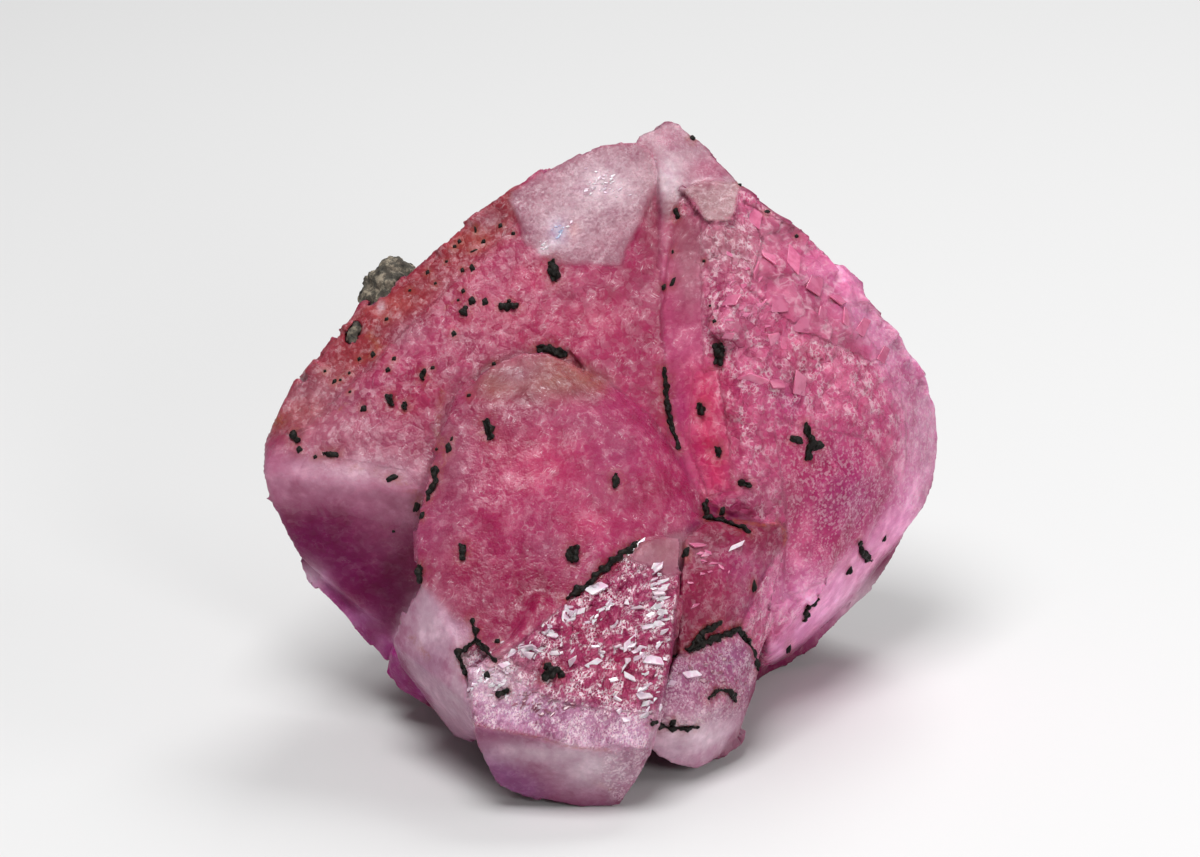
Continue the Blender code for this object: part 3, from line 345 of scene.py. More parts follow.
# The fine dark specks: across, up, width and height in millimetres.
SPECKS = (
    (-11.8, 49.8, 0.6, 0.8), (-13.1, 49.9, 0.7, 0.8), (-14.0, 50.9, 0.4, 0.5), (-13.1, 53.2, 0.5, 0.8),
    (-14.1, 53.0, 0.4, 0.5), (-14.9, 46.6, 0.5, 0.6), (-15.7, 53.9, 0.3, 0.3), (-14.9, 55.4, 0.4, 0.4),
    (-14.4, 55.9, 0.4, 0.5), (-12.8, 57.1, 0.25, 1.0), (-12.9, 55.0, 0.9, 0.2), (-12.0, 55.9, 0.4, 0.5),
    (-10.3, 57.5, 0.4, 0.5), (-9.0, 56.7, 0.4, 0.4), (-17.6, 52.8, 0.4, 0.5), (-16.8, 51.7, 0.3, 0.3),
    (-19.4, 51.0, 0.3, 0.3), (-21.7, 48.1, 0.4, 0.4), (-14.5, 50.0, 0.3, 0.3), (-23.0, 44.5, 0.5, 0.7),
    (-24.4, 44.1, 0.4, 0.4), (-20.9, 44.1, 0.4, 0.5), (-21.5, 43.0, 0.5, 0.5), (-17.0, 43.2, 0.4, 0.4),
    (-27.9, 42.9, 0.3, 0.3), (-26.9, 41.8, 0.4, 0.6), (-26.3, 42.0, 0.3, 0.3), (-25.4, 42.7, 0.3, 0.3),
    (-25.3, 40.8, 0.3, 0.3), (-23.9, 39.1, 0.6, 0.7), (-30.3, 35.0, 0.6, 0.7), (-28.7, 34.3, 0.4, 0.4),
    (-26.9, 34.5, 1.4, 0.6), (-21.0, 32.2, 1.2, 0.6), (-20.9, 26.9, 0.3, 0.3), (-15.3, 35.2, 0.6, 1.0),
    (-15.0, 36.1, 0.25, 0.5), (-16.5, 35.1, 0.3, 0.3), (-16.9, 33.0, 0.4, 0.6), (-16.4, 33.0, 0.4, 0.8),
    (-16.5, 32.0, 0.5, 0.7), (-17.1, 30.9, 0.4, 0.7), (-17.3, 30.2, 0.4, 0.7), (-18.5, 29.5, 0.6, 1.5),
    (-17.9, 28.5, 0.5, 0.8), (-13.3, 40.4, 0.4, 0.4), (-10.9, 43.6, 0.4, 0.4), (7.0, 54.8, 0.25, 0.5),
    (7.0, 51.8, 0.4, 1.0), (6.2, 51.3, 0.6, 0.6), (10.1, 53.9, 0.3, 0.3), (10.7, 49.4, 0.25, 0.25),
    (11.1, 47.8, 0.4, 0.4), (24.9, 22.8, 0.7, 1.0), (28.6, 26.0, 0.4, 0.8), (18.8, 15.0, 0.5, 1.4),
    (15.0, 21.5, 0.5, 1.3), (8.2, 24.8, 0.6, 1.2), (9.0, 66.4, 0.6, 0.6), (13.8, 61.7, 0.4, 0.4),
    (16.4, 58.9, 0.8, 0.4), (19.5, 56.5, 0.4, 0.4), (19.3, 36.0, 1.4, 0.8), (21.5, 35.4, 1.2, 0.9),
    (-9.4, 49.9, 0.4, 0.4), (-11.4, 12.9, 0.6, 0.8), (-10.4, 16.2, 0.5, 0.5), (6.9, 8.2, 0.6, 0.8),
    (11.9, 28.9, 0.5, 1.0), (10.2, 28.9, 0.4, 1.2), (-5.4, 13.8, 0.8, 0.8), (-4.2, 13.0, 0.8, 0.8),
)

# Rust stains: half width, strength and route in millimetres.
RUST_STAINS = (
    (0.15, 0.5, ((-25.0, 33.4), (-22.0, 32.6), (-20.0, 32.0), (-18.3, 30.6))),
    (0.8, 0.7, ((-34.0, 37.5), (-32.5, 38.0))),
    (0.35, 0.6, ((-23.5, 46.6), (-22.3, 45.2), (-24.0, 44.0))),
    (0.15, 0.6, ((-16.2, 49.1), (-14.5, 50.0))),
    (0.15, 0.5, ((-25.7, 39.6), (-26.4, 39.0))),
    (0.9, 0.35, ((-5.0, 44.0), (-2.0, 42.8), (-0.5, 41.5))),
    (0.25, 0.55, ((-16.0, 41.0), (-16.6, 37.0), (-15.6, 34.0))),
    (0.15, 0.6, ((-18.9, 16.4), (-18.3, 15.5), (-17.5, 15.0), (-16.0, 14.3))),
    (0.2, 0.7, ((13.0, 28.0), (16.2, 27.5), (17.5, 27.8), (18.2, 27.0), (18.2, 25.5))),
    (0.12, 0.5, ((-12.8, 8.2), (-6.3, 6.9), (-3.0, 5.9), (0.7, 5.6))),
    (0.12, 0.4, ((-1.0, 2.8), (1.0, 1.5))),
    (0.5, 0.3, ((-9.5, 62.0), (-17.5, 55.2), (-26.0, 47.2), (-33.0, 39.5))),
)

# The growth plates in the relief lean this way. The modelled ones have these shapes: how far
# the far side is moved along, how narrow the right end is, and how far it is moved back. Those
# longer than LONG_PLATE, in millimetres, take only the first BLUNT_SHAPES of them.
PLATE_LEAN = (0.62, -0.2, 0.75)
PLATE_SHAPES = ((0.35, 1.0, 0.0), (-0.2, 0.75, -0.05), (0.1, 0.45, 0.2), (0.45, 0.5, 0.3))
PLATE_THICKNESS = 0.2 * MM
LONG_PLATE = 1.3
BLUNT_SHAPES = 2

# How often the calcite, its worn zones and the dark crystals are smoothed, the seeds of the
# random draws, and the floor's size in metres.
CALCITE_SMOOTHING, WORN_SMOOTHING, DARK_SMOOTHING = 4, 40, 14
PLATE_SEED, SPECK_SEED = 11, 5
FLOOR_SIZE = 6.0

# The lights: name, azimuth and elevation in degrees, distance and size in metres, and power in
# watts. Azimuth 0 is the side that the camera looks from, and 90 is its right.
STUDIO_LIGHTS = (
    ("key", -22.0, 70.0, 0.55, 0.26, 2.4),
    ("front", 22.0, 25.0, 0.60, 0.13, 0.8),
    ("side", 80.0, 22.0, 0.55, 0.22, 0.6),
    ("rim", 160.0, 50.0, 0.50, 0.25, 1.2),
)
WORLD_STRENGTH = 0.16
LIT_MIDDLE = (0.0, 36.0, -12.0)

# The picture's middle and width in the display plane and the camera's way out from it, all in
# millimetres, and the camera's lens.
PICTURE_MIDDLE = (-0.3, 37.15)
PICTURE_WIDTH = 120.0
SENSOR_WIDTH = 36.0
CAMERA_OUT = 800.0
CAMERA_LENS = SENSOR_WIDTH * (CAMERA_OUT + 10.0) / PICTURE_WIDTH


class SpecimenSizes(bpy.types.PropertyGroup):
    """Sizes of the surface relief and of the small pieces"""

    calcite_mesh: FloatProperty(name="Calcite mesh", description="Spacing of the calcite's first mesh",
                                default=0.28 * MM, unit="LENGTH", precision=5)
    calcite_triangles: IntProperty(name="Calcite triangles", description="Triangles kept in the calcite",
                                   default=190000)
    plate_step: FloatProperty(name="Plate step", description="Height of the steps between growth plates",
                              default=0.24 * MM, unit="LENGTH", precision=5)
    plate_slope: FloatProperty(name="Plate slope", description="Slope of each growth plate", default=0.16)
    break_relief: FloatProperty(name="Break relief", description="Relief of the broken back",
                                default=0.9 * MM, unit="LENGTH", precision=5)
    dark_mesh: FloatProperty(name="Dark mesh", description="Spacing of the dark crystals' mesh",
                             default=0.1 * MM, unit="LENGTH", precision=5)
    dark_growth: FloatProperty(name="Dark growth", description="How far the dark crystals fill their seats",
                               default=0.18 * MM, unit="LENGTH", precision=5)
    rock_mesh: FloatProperty(name="Rock mesh", description="Spacing of the host rock's mesh",
                             default=0.2 * MM, unit="LENGTH", precision=5)


class SpecimenColours(bpy.types.PropertyGroup):
    """Colours that a user may want to change"""

    dark: FloatVectorProperty(name="Dark crystals", description="Base colour of the dark crystals",
                              default=tone(17, 14, 11), subtype="COLOR", min=0.0, max=1.0)
    rust: FloatVectorProperty(name="Rust", description="Stain round the dark crystals",
                              default=tone(150, 78, 48), subtype="COLOR", min=0.0, max=1.0)
    rock: FloatVectorProperty(name="Host rock", description="Main colour of the host rock",
                              default=tone(78, 73, 64), subtype="COLOR", min=0.0, max=1.0)
    floor: FloatVectorProperty(name="Floor", description="Colour of the pale floor",
                               default=(0.72, 0.72, 0.72), subtype="COLOR", min=0.0, max=1.0)


def place(across, up, out):
    """The point of the row frame at a place given in millimetres of the display plane."""
    return (ACROSS * across + UP * up + OUT * out) * MM + FRONT_TIP


def display_places(points):
    """Across, up and out in millimetres for an array of points."""
    local = (points - np.array(FRONT_TIP)) / MM
    return local @ np.array(ACROSS), local @ np.array(UP), local @ np.array(OUT)


def smooth_step(low, high, value):
    """0 at low, 1 at high, smooth between, for arrays."""
    share = np.clip((value - low) / (high - low), 0.0, 1.0)
    return share * share * (3.0 - 2.0 * share)


def line_gap(across, up, start, end):
    """How far places of the display plane are from a straight line between two others."""
    (ax, ay), (bx, by) = start, end
    length = (bx - ax) ** 2 + (by - ay) ** 2
    share = np.clip(((across - ax) * (bx - ax) + (up - ay) * (by - ay)) / length, 0.0, 1.0)
    return np.hypot(across - ax - share * (bx - ax), up - ay - share * (by - ay))


def inside_weight(across, up, outline, soft):
    """1 inside an outline and 0 outside it, over a soft edge."""
    inside = np.zeros(len(across), bool)
    nearest = np.full(len(across), np.inf)
    for (ax, ay), (bx, by) in zip(outline, outline[1:] + outline[:1]):
        crosses = (ay > up) != (by > up)
        with np.errstate(divide="ignore", invalid="ignore"):
            inside ^= crosses & (across < (bx - ax) * (up - ay) / (by - ay) + ax)
        nearest = np.minimum(nearest, line_gap(across, up, (ax, ay), (bx, by)))
    return smooth_step(-soft, soft, np.where(inside, nearest, -nearest))


def deselect():
    """Selects nothing."""
    bpy.ops.object.select_all(action="DESELECT")


def make_active(piece):
    """Selects one piece alone and makes it active."""
    deselect()
    piece.select_set(True)
    bpy.context.view_layer.objects.active = piece


def new_piece(name, mesh):
    """A new object in the scene with a mesh of its own."""
    piece = bpy.data.objects.new(name, mesh)
    bpy.context.scene.collection.objects.link(piece)
    return piece


def join(pieces, name):
    """Joins pieces in the first of them."""
    make_active(pieces[0])
    for piece in pieces:
        piece.select_set(True)
    bpy.ops.object.join()
    pieces[0].name = name
    return pieces[0]


def start_from(name, nodes):
    """A new piece that starts as the merged mesh of CAD nodes."""
    pieces = [new_piece(node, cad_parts[node].data.copy()) for node in nodes]
    piece = join(pieces, name)
    piece.data.materials.clear()
    bpy.ops.object.mode_set(mode="EDIT")
    bpy.ops.mesh.select_all(action="SELECT")
    bpy.ops.mesh.remove_doubles(threshold=1e-6)
    bpy.ops.object.mode_set(mode="OBJECT")
    return piece


def apply_modifier(piece, kind, **settings):
    """Adds a modifier, sets it and applies it."""
    make_active(piece)
    modifier = piece.modifiers.new(kind.lower(), kind)
    for key, value in settings.items():
        setattr(modifier, key, value)
    bpy.ops.object.modifier_apply(modifier=modifier.name)


def roughen(piece, name, kind, size, strength, middle, **settings):
    """Displaces a piece's surface by a texture with features of a size."""
    texture = bpy.data.textures.new(name, kind)
    texture.noise_scale = size
    for key, value in settings.items():
        setattr(texture, key, value)
    apply_modifier(piece, "DISPLACE", texture=texture, texture_coords="LOCAL", strength=strength,
                   mid_level=middle)


def add_node(tree, kind, inputs=None, **settings):
    """Adds a node, sets it, and gives its inputs their values or links."""
    node = tree.nodes.new(kind)
    for key, value in settings.items():
        setattr(node, key, value)
    for key, value in (inputs or {}).items():
        if isinstance(value, bpy.types.NodeSocket):
            tree.links.new(value, node.inputs[key])
        else:
            node.inputs[key].default_value = value
    return node


def maths(tree, operation, first, second=0.0):
    """The result of one sum on values."""
    return add_node(tree, "ShaderNodeMath", {0: first, 1: second}, operation=operation).outputs[0]


def times(tree, first, *others):
    """The product of values."""
    product = others[0] if len(others) == 1 else times(tree, *others)
    return maths(tree, "MULTIPLY", first, product)


def vector_maths(tree, operation, first, second=(0.0, 0.0, 0.0)):
    """The result of one sum on vectors."""
    node = add_node(tree, "ShaderNodeVectorMath", {0: first, 1: second}, operation=operation)
    return node.outputs["Value" if operation == "DOT_PRODUCT" else "Vector"]


def scaled(tree, vector, factor):
    """A vector times a value."""
    return add_node(tree, "ShaderNodeVectorMath", {0: vector, "Scale": factor}, operation="SCALE").outputs[0]


def turned_in_plane(tree, position, angle):
    """Places turned in the display plane."""
    return add_node(tree, "ShaderNodeVectorRotate", {"Vector": position, "Axis": OUT, "Angle": angle},
                    rotation_type="AXIS_ANGLE").outputs[0]


def mix_colour(tree, share, first, second):
    """The first colour turned to the second by a share."""
    return add_node(tree, "ShaderNodeMix", {0: share, 6: first, 7: second}, data_type="RGBA").outputs[2]


def noise_node(tree, position, size, detail, roughness=0.5, distortion=0.0):
    """Smooth noise with features of a size."""
    return add_node(tree, "ShaderNodeTexNoise", {"Vector": position, "Scale": 1.0 / size, "Detail": detail,
                                                 "Roughness": roughness, "Distortion": distortion})


def ramp(tree, value, low, high):
    """0 at low, 1 at high, smooth between."""
    node = add_node(tree, "ShaderNodeMapRange", {"Value": value, "From Min": low, "From Max": high},
                    interpolation_type="SMOOTHSTEP")
    return node.outputs["Result"]


def plate_cells(tree, position, grain, share=1.0, feature="F1"):
    """Voronoi cells turned, sized and stretched with the zone: the node and the turned place."""
    turn = add_node(tree, "ShaderNodeSeparateXYZ", {"Vector": grain})
    stretch = add_node(tree, "ShaderNodeCombineXYZ", {0: 1.0, 1: turn.outputs[2], 2: turn.outputs[2]})
    turned = turned_in_plane(tree, position, turn.outputs[0])
    turned = vector_maths(tree, "DIVIDE", turned, stretch.outputs[0])
    scale = maths(tree, "DIVIDE", 1.0 / (share * MM), turn.outputs[1])
    cells = add_node(tree, "ShaderNodeTexVoronoi", {"Vector": turned, "Scale": scale}, feature=feature)
    return cells, turned


def warped(tree, position):
    """Places moved a little by smooth noise, so that growth plates are uneven."""
    noise = noise_node(tree, position, 2.2 * MM, 1.0)
    shift = vector_maths(tree, "SUBTRACT", noise.outputs["Color"], (0.5, 0.5, 0.5))
    return vector_maths(tree, "ADD", position, scaled(tree, shift, 1.3 * MM))


def first_channel(tree, colour):
    """The first channel of a colour, as a value."""
    return add_node(tree, "ShaderNodeSeparateXYZ", {"Vector": colour}).outputs[0]


def plate_height(tree, position, grain, share, slope, step):
    """The height of a surface of growth plates: each cell is a small slope with its own rise."""
    cells, turned = plate_cells(tree, position, grain, share)
    within = vector_maths(tree, "SUBTRACT", turned, cells.outputs["Position"])
    lean = times(tree, vector_maths(tree, "DOT_PRODUCT", within, PLATE_LEAN), slope)
    level = maths(tree, "SUBTRACT", first_channel(tree, cells.outputs["Color"]), 0.5)
    return maths(tree, "ADD", lean, times(tree, level, step))


def named_attribute(tree, name, kind="FLOAT"):
    """One of the piece's own attributes, in geometry nodes."""
    node = add_node(tree, "GeometryNodeInputNamedAttribute", {"Name": name}, data_type=kind)
    return node.outputs["Attribute"]


def relief_tree(sizes):
    """Geometry nodes that raise the growth plates and break up the back of the calcite."""
    tree = bpy.data.node_groups.new("calcite_relief", "GeometryNodeTree")
    tree.interface.new_socket("Geometry", in_out="INPUT", socket_type="NodeSocketGeometry")
    tree.interface.new_socket("Geometry", in_out="OUTPUT", socket_type="NodeSocketGeometry")
    start = add_node(tree, "NodeGroupInput")
    position = add_node(tree, "GeometryNodeInputPosition").outputs[0]
    normal = add_node(tree, "GeometryNodeInputNormal").outputs[0]
    finish = named_attribute(tree, "finish", "FLOAT_COLOR")
    parts = add_node(tree, "ShaderNodeSeparateXYZ", {"Vector": finish})
    plates, stipple = parts.outputs[0], parts.outputs[1]
    grain = named_attribute(tree, "grain", "FLOAT_VECTOR")
    back = named_attribute(tree, "back")
    uneven = warped(tree, position)
    large = plate_height(tree, uneven, grain, 1.9, sizes.plate_slope, sizes.plate_step)
    small = plate_height(tree, uneven, grain, 0.8, sizes.plate_slope, sizes.plate_step * 0.5)
    height = times(tree, maths(tree, "ADD", large, small), plates, plates)
    grains = add_node(tree, "ShaderNodeTexVoronoi", {"Vector": position, "Scale": 1.0 / (0.75 * MM)},
                      feature="SMOOTH_F1")
    bumps = times(tree, maths(tree, "SUBTRACT", 0.45, grains.outputs["Distance"]), 0.2 * MM)
    height = maths(tree, "ADD", height, times(tree, bumps, stipple))
    broken = noise_node(tree, position, 7.0 * MM, 6.0, 0.6)
    shift = times(tree, maths(tree, "SUBTRACT", broken.outputs[0], 0.5), 2.0 * sizes.break_relief)
    blocks = add_node(tree, "ShaderNodeCombineXYZ", {0: 0.4, 1: 5.5, 2: 1.0}).outputs[0]
    shift = maths(tree, "ADD", shift, plate_height(tree, position, blocks, 1.0, 0.2, sizes.break_relief))
    height = maths(tree, "ADD", height, times(tree, shift, back))
    offset = scaled(tree, normal, height)
    moved = add_node(tree, "ShaderNodeSeparateXYZ", {"Vector": vector_maths(tree, "ADD", position, offset)})
    level = maths(tree, "MAXIMUM", moved.outputs[2], 0.0)
    place_now = add_node(tree, "ShaderNodeCombineXYZ", {0: moved.outputs[0], 1: moved.outputs[1], 2: level})
    done = add_node(tree, "GeometryNodeSetPosition", {"Geometry": start.outputs[0],
                                                      "Position": place_now.outputs[0]})
    add_node(tree, "NodeGroupOutput", {0: done.outputs[0]})
    return tree


def set_attribute(mesh, name, kind, values):
    """Gives a mesh's vertices an attribute."""
    if name in mesh.attributes:
        mesh.attributes.remove(mesh.attributes[name])
    attribute = mesh.attributes.new(name, kind, "POINT")
    field = {"FLOAT_COLOR": "color", "FLOAT_VECTOR": "vector", "FLOAT": "value"}[kind]
    attribute.data.foreach_set(field, values.astype(np.float32).ravel())


def vertex_arrays(mesh):
    """The places and normals of a mesh's vertices."""
    points = np.zeros(len(mesh.vertices) * 3, np.float32)
    mesh.vertices.foreach_get("co", points)
    normals = np.zeros(len(mesh.vertices) * 3, np.float32)
    mesh.vertex_normals.foreach_get("vector", normals)
    return points.reshape(-1, 3).astype(float), normals.reshape(-1, 3).astype(float)


def finish_values(name):
    """The weights of a finish, and its plates' turn, width and stretch."""
    plates, stipple, gloss, glint_and_veil_weight, turn, width, stretch = FINISHES[name]
    return np.array((plates, stipple, gloss, glint_and_veil_weight)), np.array((math.radians(turn), width, stretch))


def paint_zones(mesh):
    """Gives the calcite's vertices the tone and the finish of their zone."""
    points, normals = vertex_arrays(mesh)
    across, up, out = display_places(points)
    facing = normals @ np.array(OUT)
    front = smooth_step(-0.12, 0.12, facing)
    behind = (1.0 - front * smooth_step(-31.0, -27.0, out)) * (0.3 + 0.7 * smooth_step(0.2, -0.7, facing))
    level = smooth_step(0.0, 0.35 * MM, points[:, 2])
    count = len(points)
    broken, broken_grain = finish_values("broken")
    tint = np.tile(np.array(TONES["break"]), (count, 1))
    finish = np.tile(broken, (count, 1))
    grain = np.tile(broken_grain, (count, 1))
    deep = np.ones(count)
    for tone_name, finish_name, soft, outline in ZONES:
        weight = (inside_weight(across, up, outline, soft) * front)[:, None]
        zone_finish, zone_grain = finish_values(finish_name)
        tint += (np.array(TONES[tone_name]) - tint) * weight
        finish += (zone_finish - finish) * weight
        grain = np.where(weight > 0.5, zone_grain, grain)
        deep = np.where(weight[:, 0] > 0.5, tone_name in DEEP_TONES, deep)
    for tone_name, strength, x, y, half_width, half_height in PATCHES:
        gap = ((across - x) / half_width) ** 2 + ((up - y) / half_height) ** 2
        tint += (np.array(TONES[tone_name]) - tint) * (strength * np.exp(-gap) * front)[:, None]
    set_attribute(mesh, "tint", "FLOAT_COLOR", np.column_stack((tint, np.ones(count))))
    set_attribute(mesh, "finish", "FLOAT_COLOR", finish)
    set_attribute(mesh, "grain", "FLOAT_VECTOR", grain)
    set_attribute(mesh, "back", "FLOAT", behind * level)
    set_attribute(mesh, "deep", "FLOAT", deep)


def mark_soft_zones(piece):
    """Puts the vertices of the zones that are worn smooth in a vertex group."""
    points, normals = vertex_arrays(piece.data)
    across, up, _ = display_places(points)
    front = smooth_step(-0.1, 0.1, normals @ np.array(OUT))
    weight = np.zeros(len(points))
    for soft, outline in SOFT_ZONES:
        weight = np.maximum(weight, inside_weight(across, up, outline, soft) * front)
    group = piece.vertex_groups.new(name="soft")
    for number in np.nonzero(weight > 0.01)[0]:
        group.add([int(number)], float(weight[number]), "REPLACE")


def stained(across, up, route, half_width):
    """How near places of the display plane are to a route, from 0 to 1."""
    nearest = np.full(len(across), np.inf)
    for start, end in zip(route, route[1:]):
        nearest = np.minimum(nearest, line_gap(across, up, start, end))
    return np.exp(-(nearest / half_width) ** 2)


def paint_rust(mesh):
    """Marks the calcite near the dark crystals and along the stains."""
    points, normals = vertex_arrays(mesh)
    across, up, _ = display_places(points)
    places = [vertex.co for node in DARK_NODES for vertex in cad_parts[node].data.vertices]
    near = kdtree.KDTree(len(places))
    for number, point in enumerate(places):
        near.insert(point, number)
    near.balance()
    gaps = np.array([near.find(point)[2] for point in points]) / MM
    rust = 0.8 * np.exp(-gaps / 0.4)
    front = smooth_step(-0.1, 0.1, normals @ np.array(OUT))
    for x, y, width, height in SPECKS:
        gap = np.hypot((across - x) / (0.5 * width + 0.22), (up - y) / (0.5 * height + 0.22))
        rust = np.maximum(rust, 0.7 * np.exp(-gap ** 2) * front)
    for half_width, strength, route in RUST_STAINS:
        rust = np.maximum(rust, strength * stained(across, up, route, half_width) * front)
    set_attribute(mesh, "rust", "FLOAT", rust)


def needle_glints(tree, position, turn):
    """Short, bright painted glints, thin as a needle, that lie one way in the display plane."""
    narrowed = vector_maths(tree, "MULTIPLY", turned_in_plane(tree, position, turn), (1.0, 8.0, 8.0))
    cells = add_node(tree, "ShaderNodeTexVoronoi", {"Vector": narrowed, "Scale": 1.0 / (1.3 * MM)})
    chosen = ramp(tree, first_channel(tree, cells.outputs["Color"]), 0.55, 1.0)
    return times(tree, ramp(tree, cells.outputs["Distance"], 0.5, 0.1), chosen)


def principled(name):
    """A new material with its tree and its shader."""
    material = bpy.data.materials.new(name)
    material.use_nodes = True
    tree = material.node_tree
    return material, tree, tree.nodes["Principled BSDF"]


def let_light_in(shader, weight, depth):
    """Lets light into calcite: how much of it, and how deep."""
    shader.inputs["Subsurface Weight"].default_value = weight
    shader.inputs["Subsurface Radius"].default_value = LIGHT_SPREAD
    shader.inputs["Subsurface Scale"].default_value = depth
    shader.inputs["IOR"].default_value = CALCITE_IOR


def attribute(tree, name):
    """A node that reads one of the piece's own attributes."""
    return add_node(tree, "ShaderNodeAttribute", attribute_name=name)


def raise_surface(tree, shader, height, **more):
    """Gives a shader fine relief from a height in metres."""
    bump = add_node(tree, "ShaderNodeBump", {"Height": height, "Distance": 1.0, **more})
    tree.links.new(bump.outputs[0], shader.inputs["Normal"])


def calcite_material(name, colours, reflection):
    """Translucent pink calcite, toned by zone, with growth plates, veils, rust, painted glints and painted
    groove shade.
    """
    material, tree, shader = principled(name)
    position = add_node(tree, "ShaderNodeTexCoord").outputs["Object"]
    tint = attribute(tree, "tint").outputs["Color"]
    grain = attribute(tree, "grain").outputs["Vector"]
    finish = attribute(tree, "finish")
    plates, stipple, gloss = add_node(tree, "ShaderNodeSeparateXYZ",
                                      {"Vector": finish.outputs["Vector"]}).outputs[:3]
    glint_and_veil_weight = finish.outputs["Alpha"]

    uneven = warped(tree, position)
    cells = plate_cells(tree, uneven, grain, 0.8)[0]
    edges = plate_cells(tree, uneven, grain, 0.8, "DISTANCE_TO_EDGE")[0].outputs["Distance"]
    chips = plate_cells(tree, position, grain, 0.3)[0]
    chip_edges = plate_cells(tree, uneven, grain, 0.38, "DISTANCE_TO_EDGE")[0].outputs["Distance"]
    cell_tone = first_channel(tree, cells.outputs["Color"])
    chip_tone = first_channel(tree, chips.outputs["Color"])
    clouds = noise_node(tree, position, 3.6 * MM, 6.0, 0.62).outputs[0]
    fine = noise_node(tree, position, 0.35 * MM, 2.0, 0.7).outputs[0]
    flecks = noise_node(tree, position, 1.3 * MM, 3.0).outputs[0]

    red = first_channel(tree, tint)
    paleness = times(tree, times(tree, red, red), 0.45)
    paler = vector_maths(tree, "ADD", vector_maths(tree, "MULTIPLY", tint, (1.3, 1.3, 1.3)), paleness)
    deeper = vector_maths(tree, "MULTIPLY", tint, (0.76, 0.45, 0.6))
    colour = mix_colour(tree, ramp(tree, clouds, 0.5, 0.75), tint, paler)
    colour = mix_colour(tree, ramp(tree, clouds, 0.52, 0.28), colour, deeper)
    facets = times(tree, plates, plates)
    colour = mix_colour(tree, times(tree, ramp(tree, flecks, 0.5, 0.72), 0.35), colour, paler)
    colour = mix_colour(tree, times(tree, ramp(tree, flecks, 0.5, 0.3), 0.3), colour, deeper)
    lift = maths(tree, "ADD", 0.08, times(tree, facets, 0.4))
    colour = mix_colour(tree, times(tree, ramp(tree, cell_tone, 0.3, 1.0), lift), colour, paler)
    drop = times(tree, ramp(tree, cell_tone, 0.3, 0.0), facets, 0.4)
    colour = mix_colour(tree, drop, colour, deeper)
    # Painted shade in the grooves between growth plates: their outlines are darkened.
    outline = times(tree, ramp(tree, edges, 0.06, 0.01), facets, 0.3)
    colour = mix_colour(tree, outline, colour, deeper)
    # Painted highlights along the edges of small plates, in patches, on glossy faces.
    patchy = ramp(tree, flecks, 0.45, 0.6)
    edge_highlights = times(tree, ramp(tree, chip_edges, 0.13, 0.04), patchy)
    amount = times(tree, maths(tree, "MAXIMUM", facets, stipple), gloss, 0.6)
    colour = mix_colour(tree, times(tree, edge_highlights, amount), colour, GLINT_AND_VEIL_WHITE)
    # Painted reflections: some small plates in the glossy clusters turn white.
    cluster = times(tree, patchy, facets, gloss, gloss)
    bright = times(tree, ramp(tree, chip_tone, 0.7, 0.74), cluster)
    colour = mix_colour(tree, times(tree, bright, 0.8), colour, GLINT_AND_VEIL_WHITE)
    # Painted sparkle: white flecks on the stippled faces.
    flash = times(tree, ramp(tree, chip_tone, 0.6, 0.9), stipple, 0.3)
    colour = mix_colour(tree, flash, colour, GLINT_AND_VEIL_WHITE)
    # Painted glints, short and needle-thin, in patches; then the veils, thin white lines inside the calcite.
    glint = maths(tree, "MAXIMUM", needle_glints(tree, uneven, 0.5), needle_glints(tree, uneven, 2.1))
    glint = times(tree, glint, ramp(tree, flecks, 0.48, 0.68))
    glint = times(tree, glint, glint_and_veil_weight, 0.55)
    colour = mix_colour(tree, glint, colour, GLINT_AND_VEIL_WHITE)
    marble = noise_node(tree, position, 4.5 * MM, 5.0, 0.5, 0.5).outputs[0]
    veil = ramp(tree, maths(tree, "ABSOLUTE", maths(tree, "SUBTRACT", marble, 0.5)), 0.014, 0.0)
    veil = times(tree, veil, ramp(tree, clouds, 0.5, 0.64), glint_and_veil_weight)
    colour = mix_colour(tree, times(tree, veil, 0.22), colour, GLINT_AND_VEIL_WHITE)
    rust = times(tree, attribute(tree, "rust").outputs["Fac"], ramp(tree, fine, 0.25, 0.6))
    colour = mix_colour(tree, rust, colour, (*colours.rust, 1.0))
    tree.links.new(colour, shader.inputs["Base Color"])

    rough = maths(tree, "SUBTRACT", 0.48, times(tree, gloss, 0.3))
    rough = maths(tree, "ADD", rough, times(tree, maths(tree, "SUBTRACT", fine, 0.5), 0.3))
    tree.links.new(rough, shader.inputs["Roughness"])

    normal = add_node(tree, "ShaderNodeNewGeometry").outputs["Normal"]
    lean = vector_maths(tree, "SUBTRACT", cells.outputs["Color"], (0.5, 0.5, 0.5))
    lean = scaled(tree, lean, times(tree, facets, 0.7))
    chip_lean = vector_maths(tree, "SUBTRACT", chips.outputs["Color"], (0.5, 0.5, 0.5))
    amount = maths(tree, "ADD", times(tree, stipple, 0.6), times(tree, facets, 0.5))
    chip_lean = scaled(tree, chip_lean, amount)
    normal = vector_maths(tree, "ADD", normal, vector_maths(tree, "ADD", lean, chip_lean))
    normal = vector_maths(tree, "NORMALIZE", normal)
    groove = times(tree, ramp(tree, edges, 0.0, 0.12), facets, 0.07 * MM)
    height = maths(tree, "ADD", groove, times(tree, fine, 0.06 * MM))
    raise_surface(tree, shader, height, Normal=normal)
    let_light_in(shader, 0.45, 1.2 * MM)
    shader.inputs["Specular IOR Level"].default_value = reflection
    return material


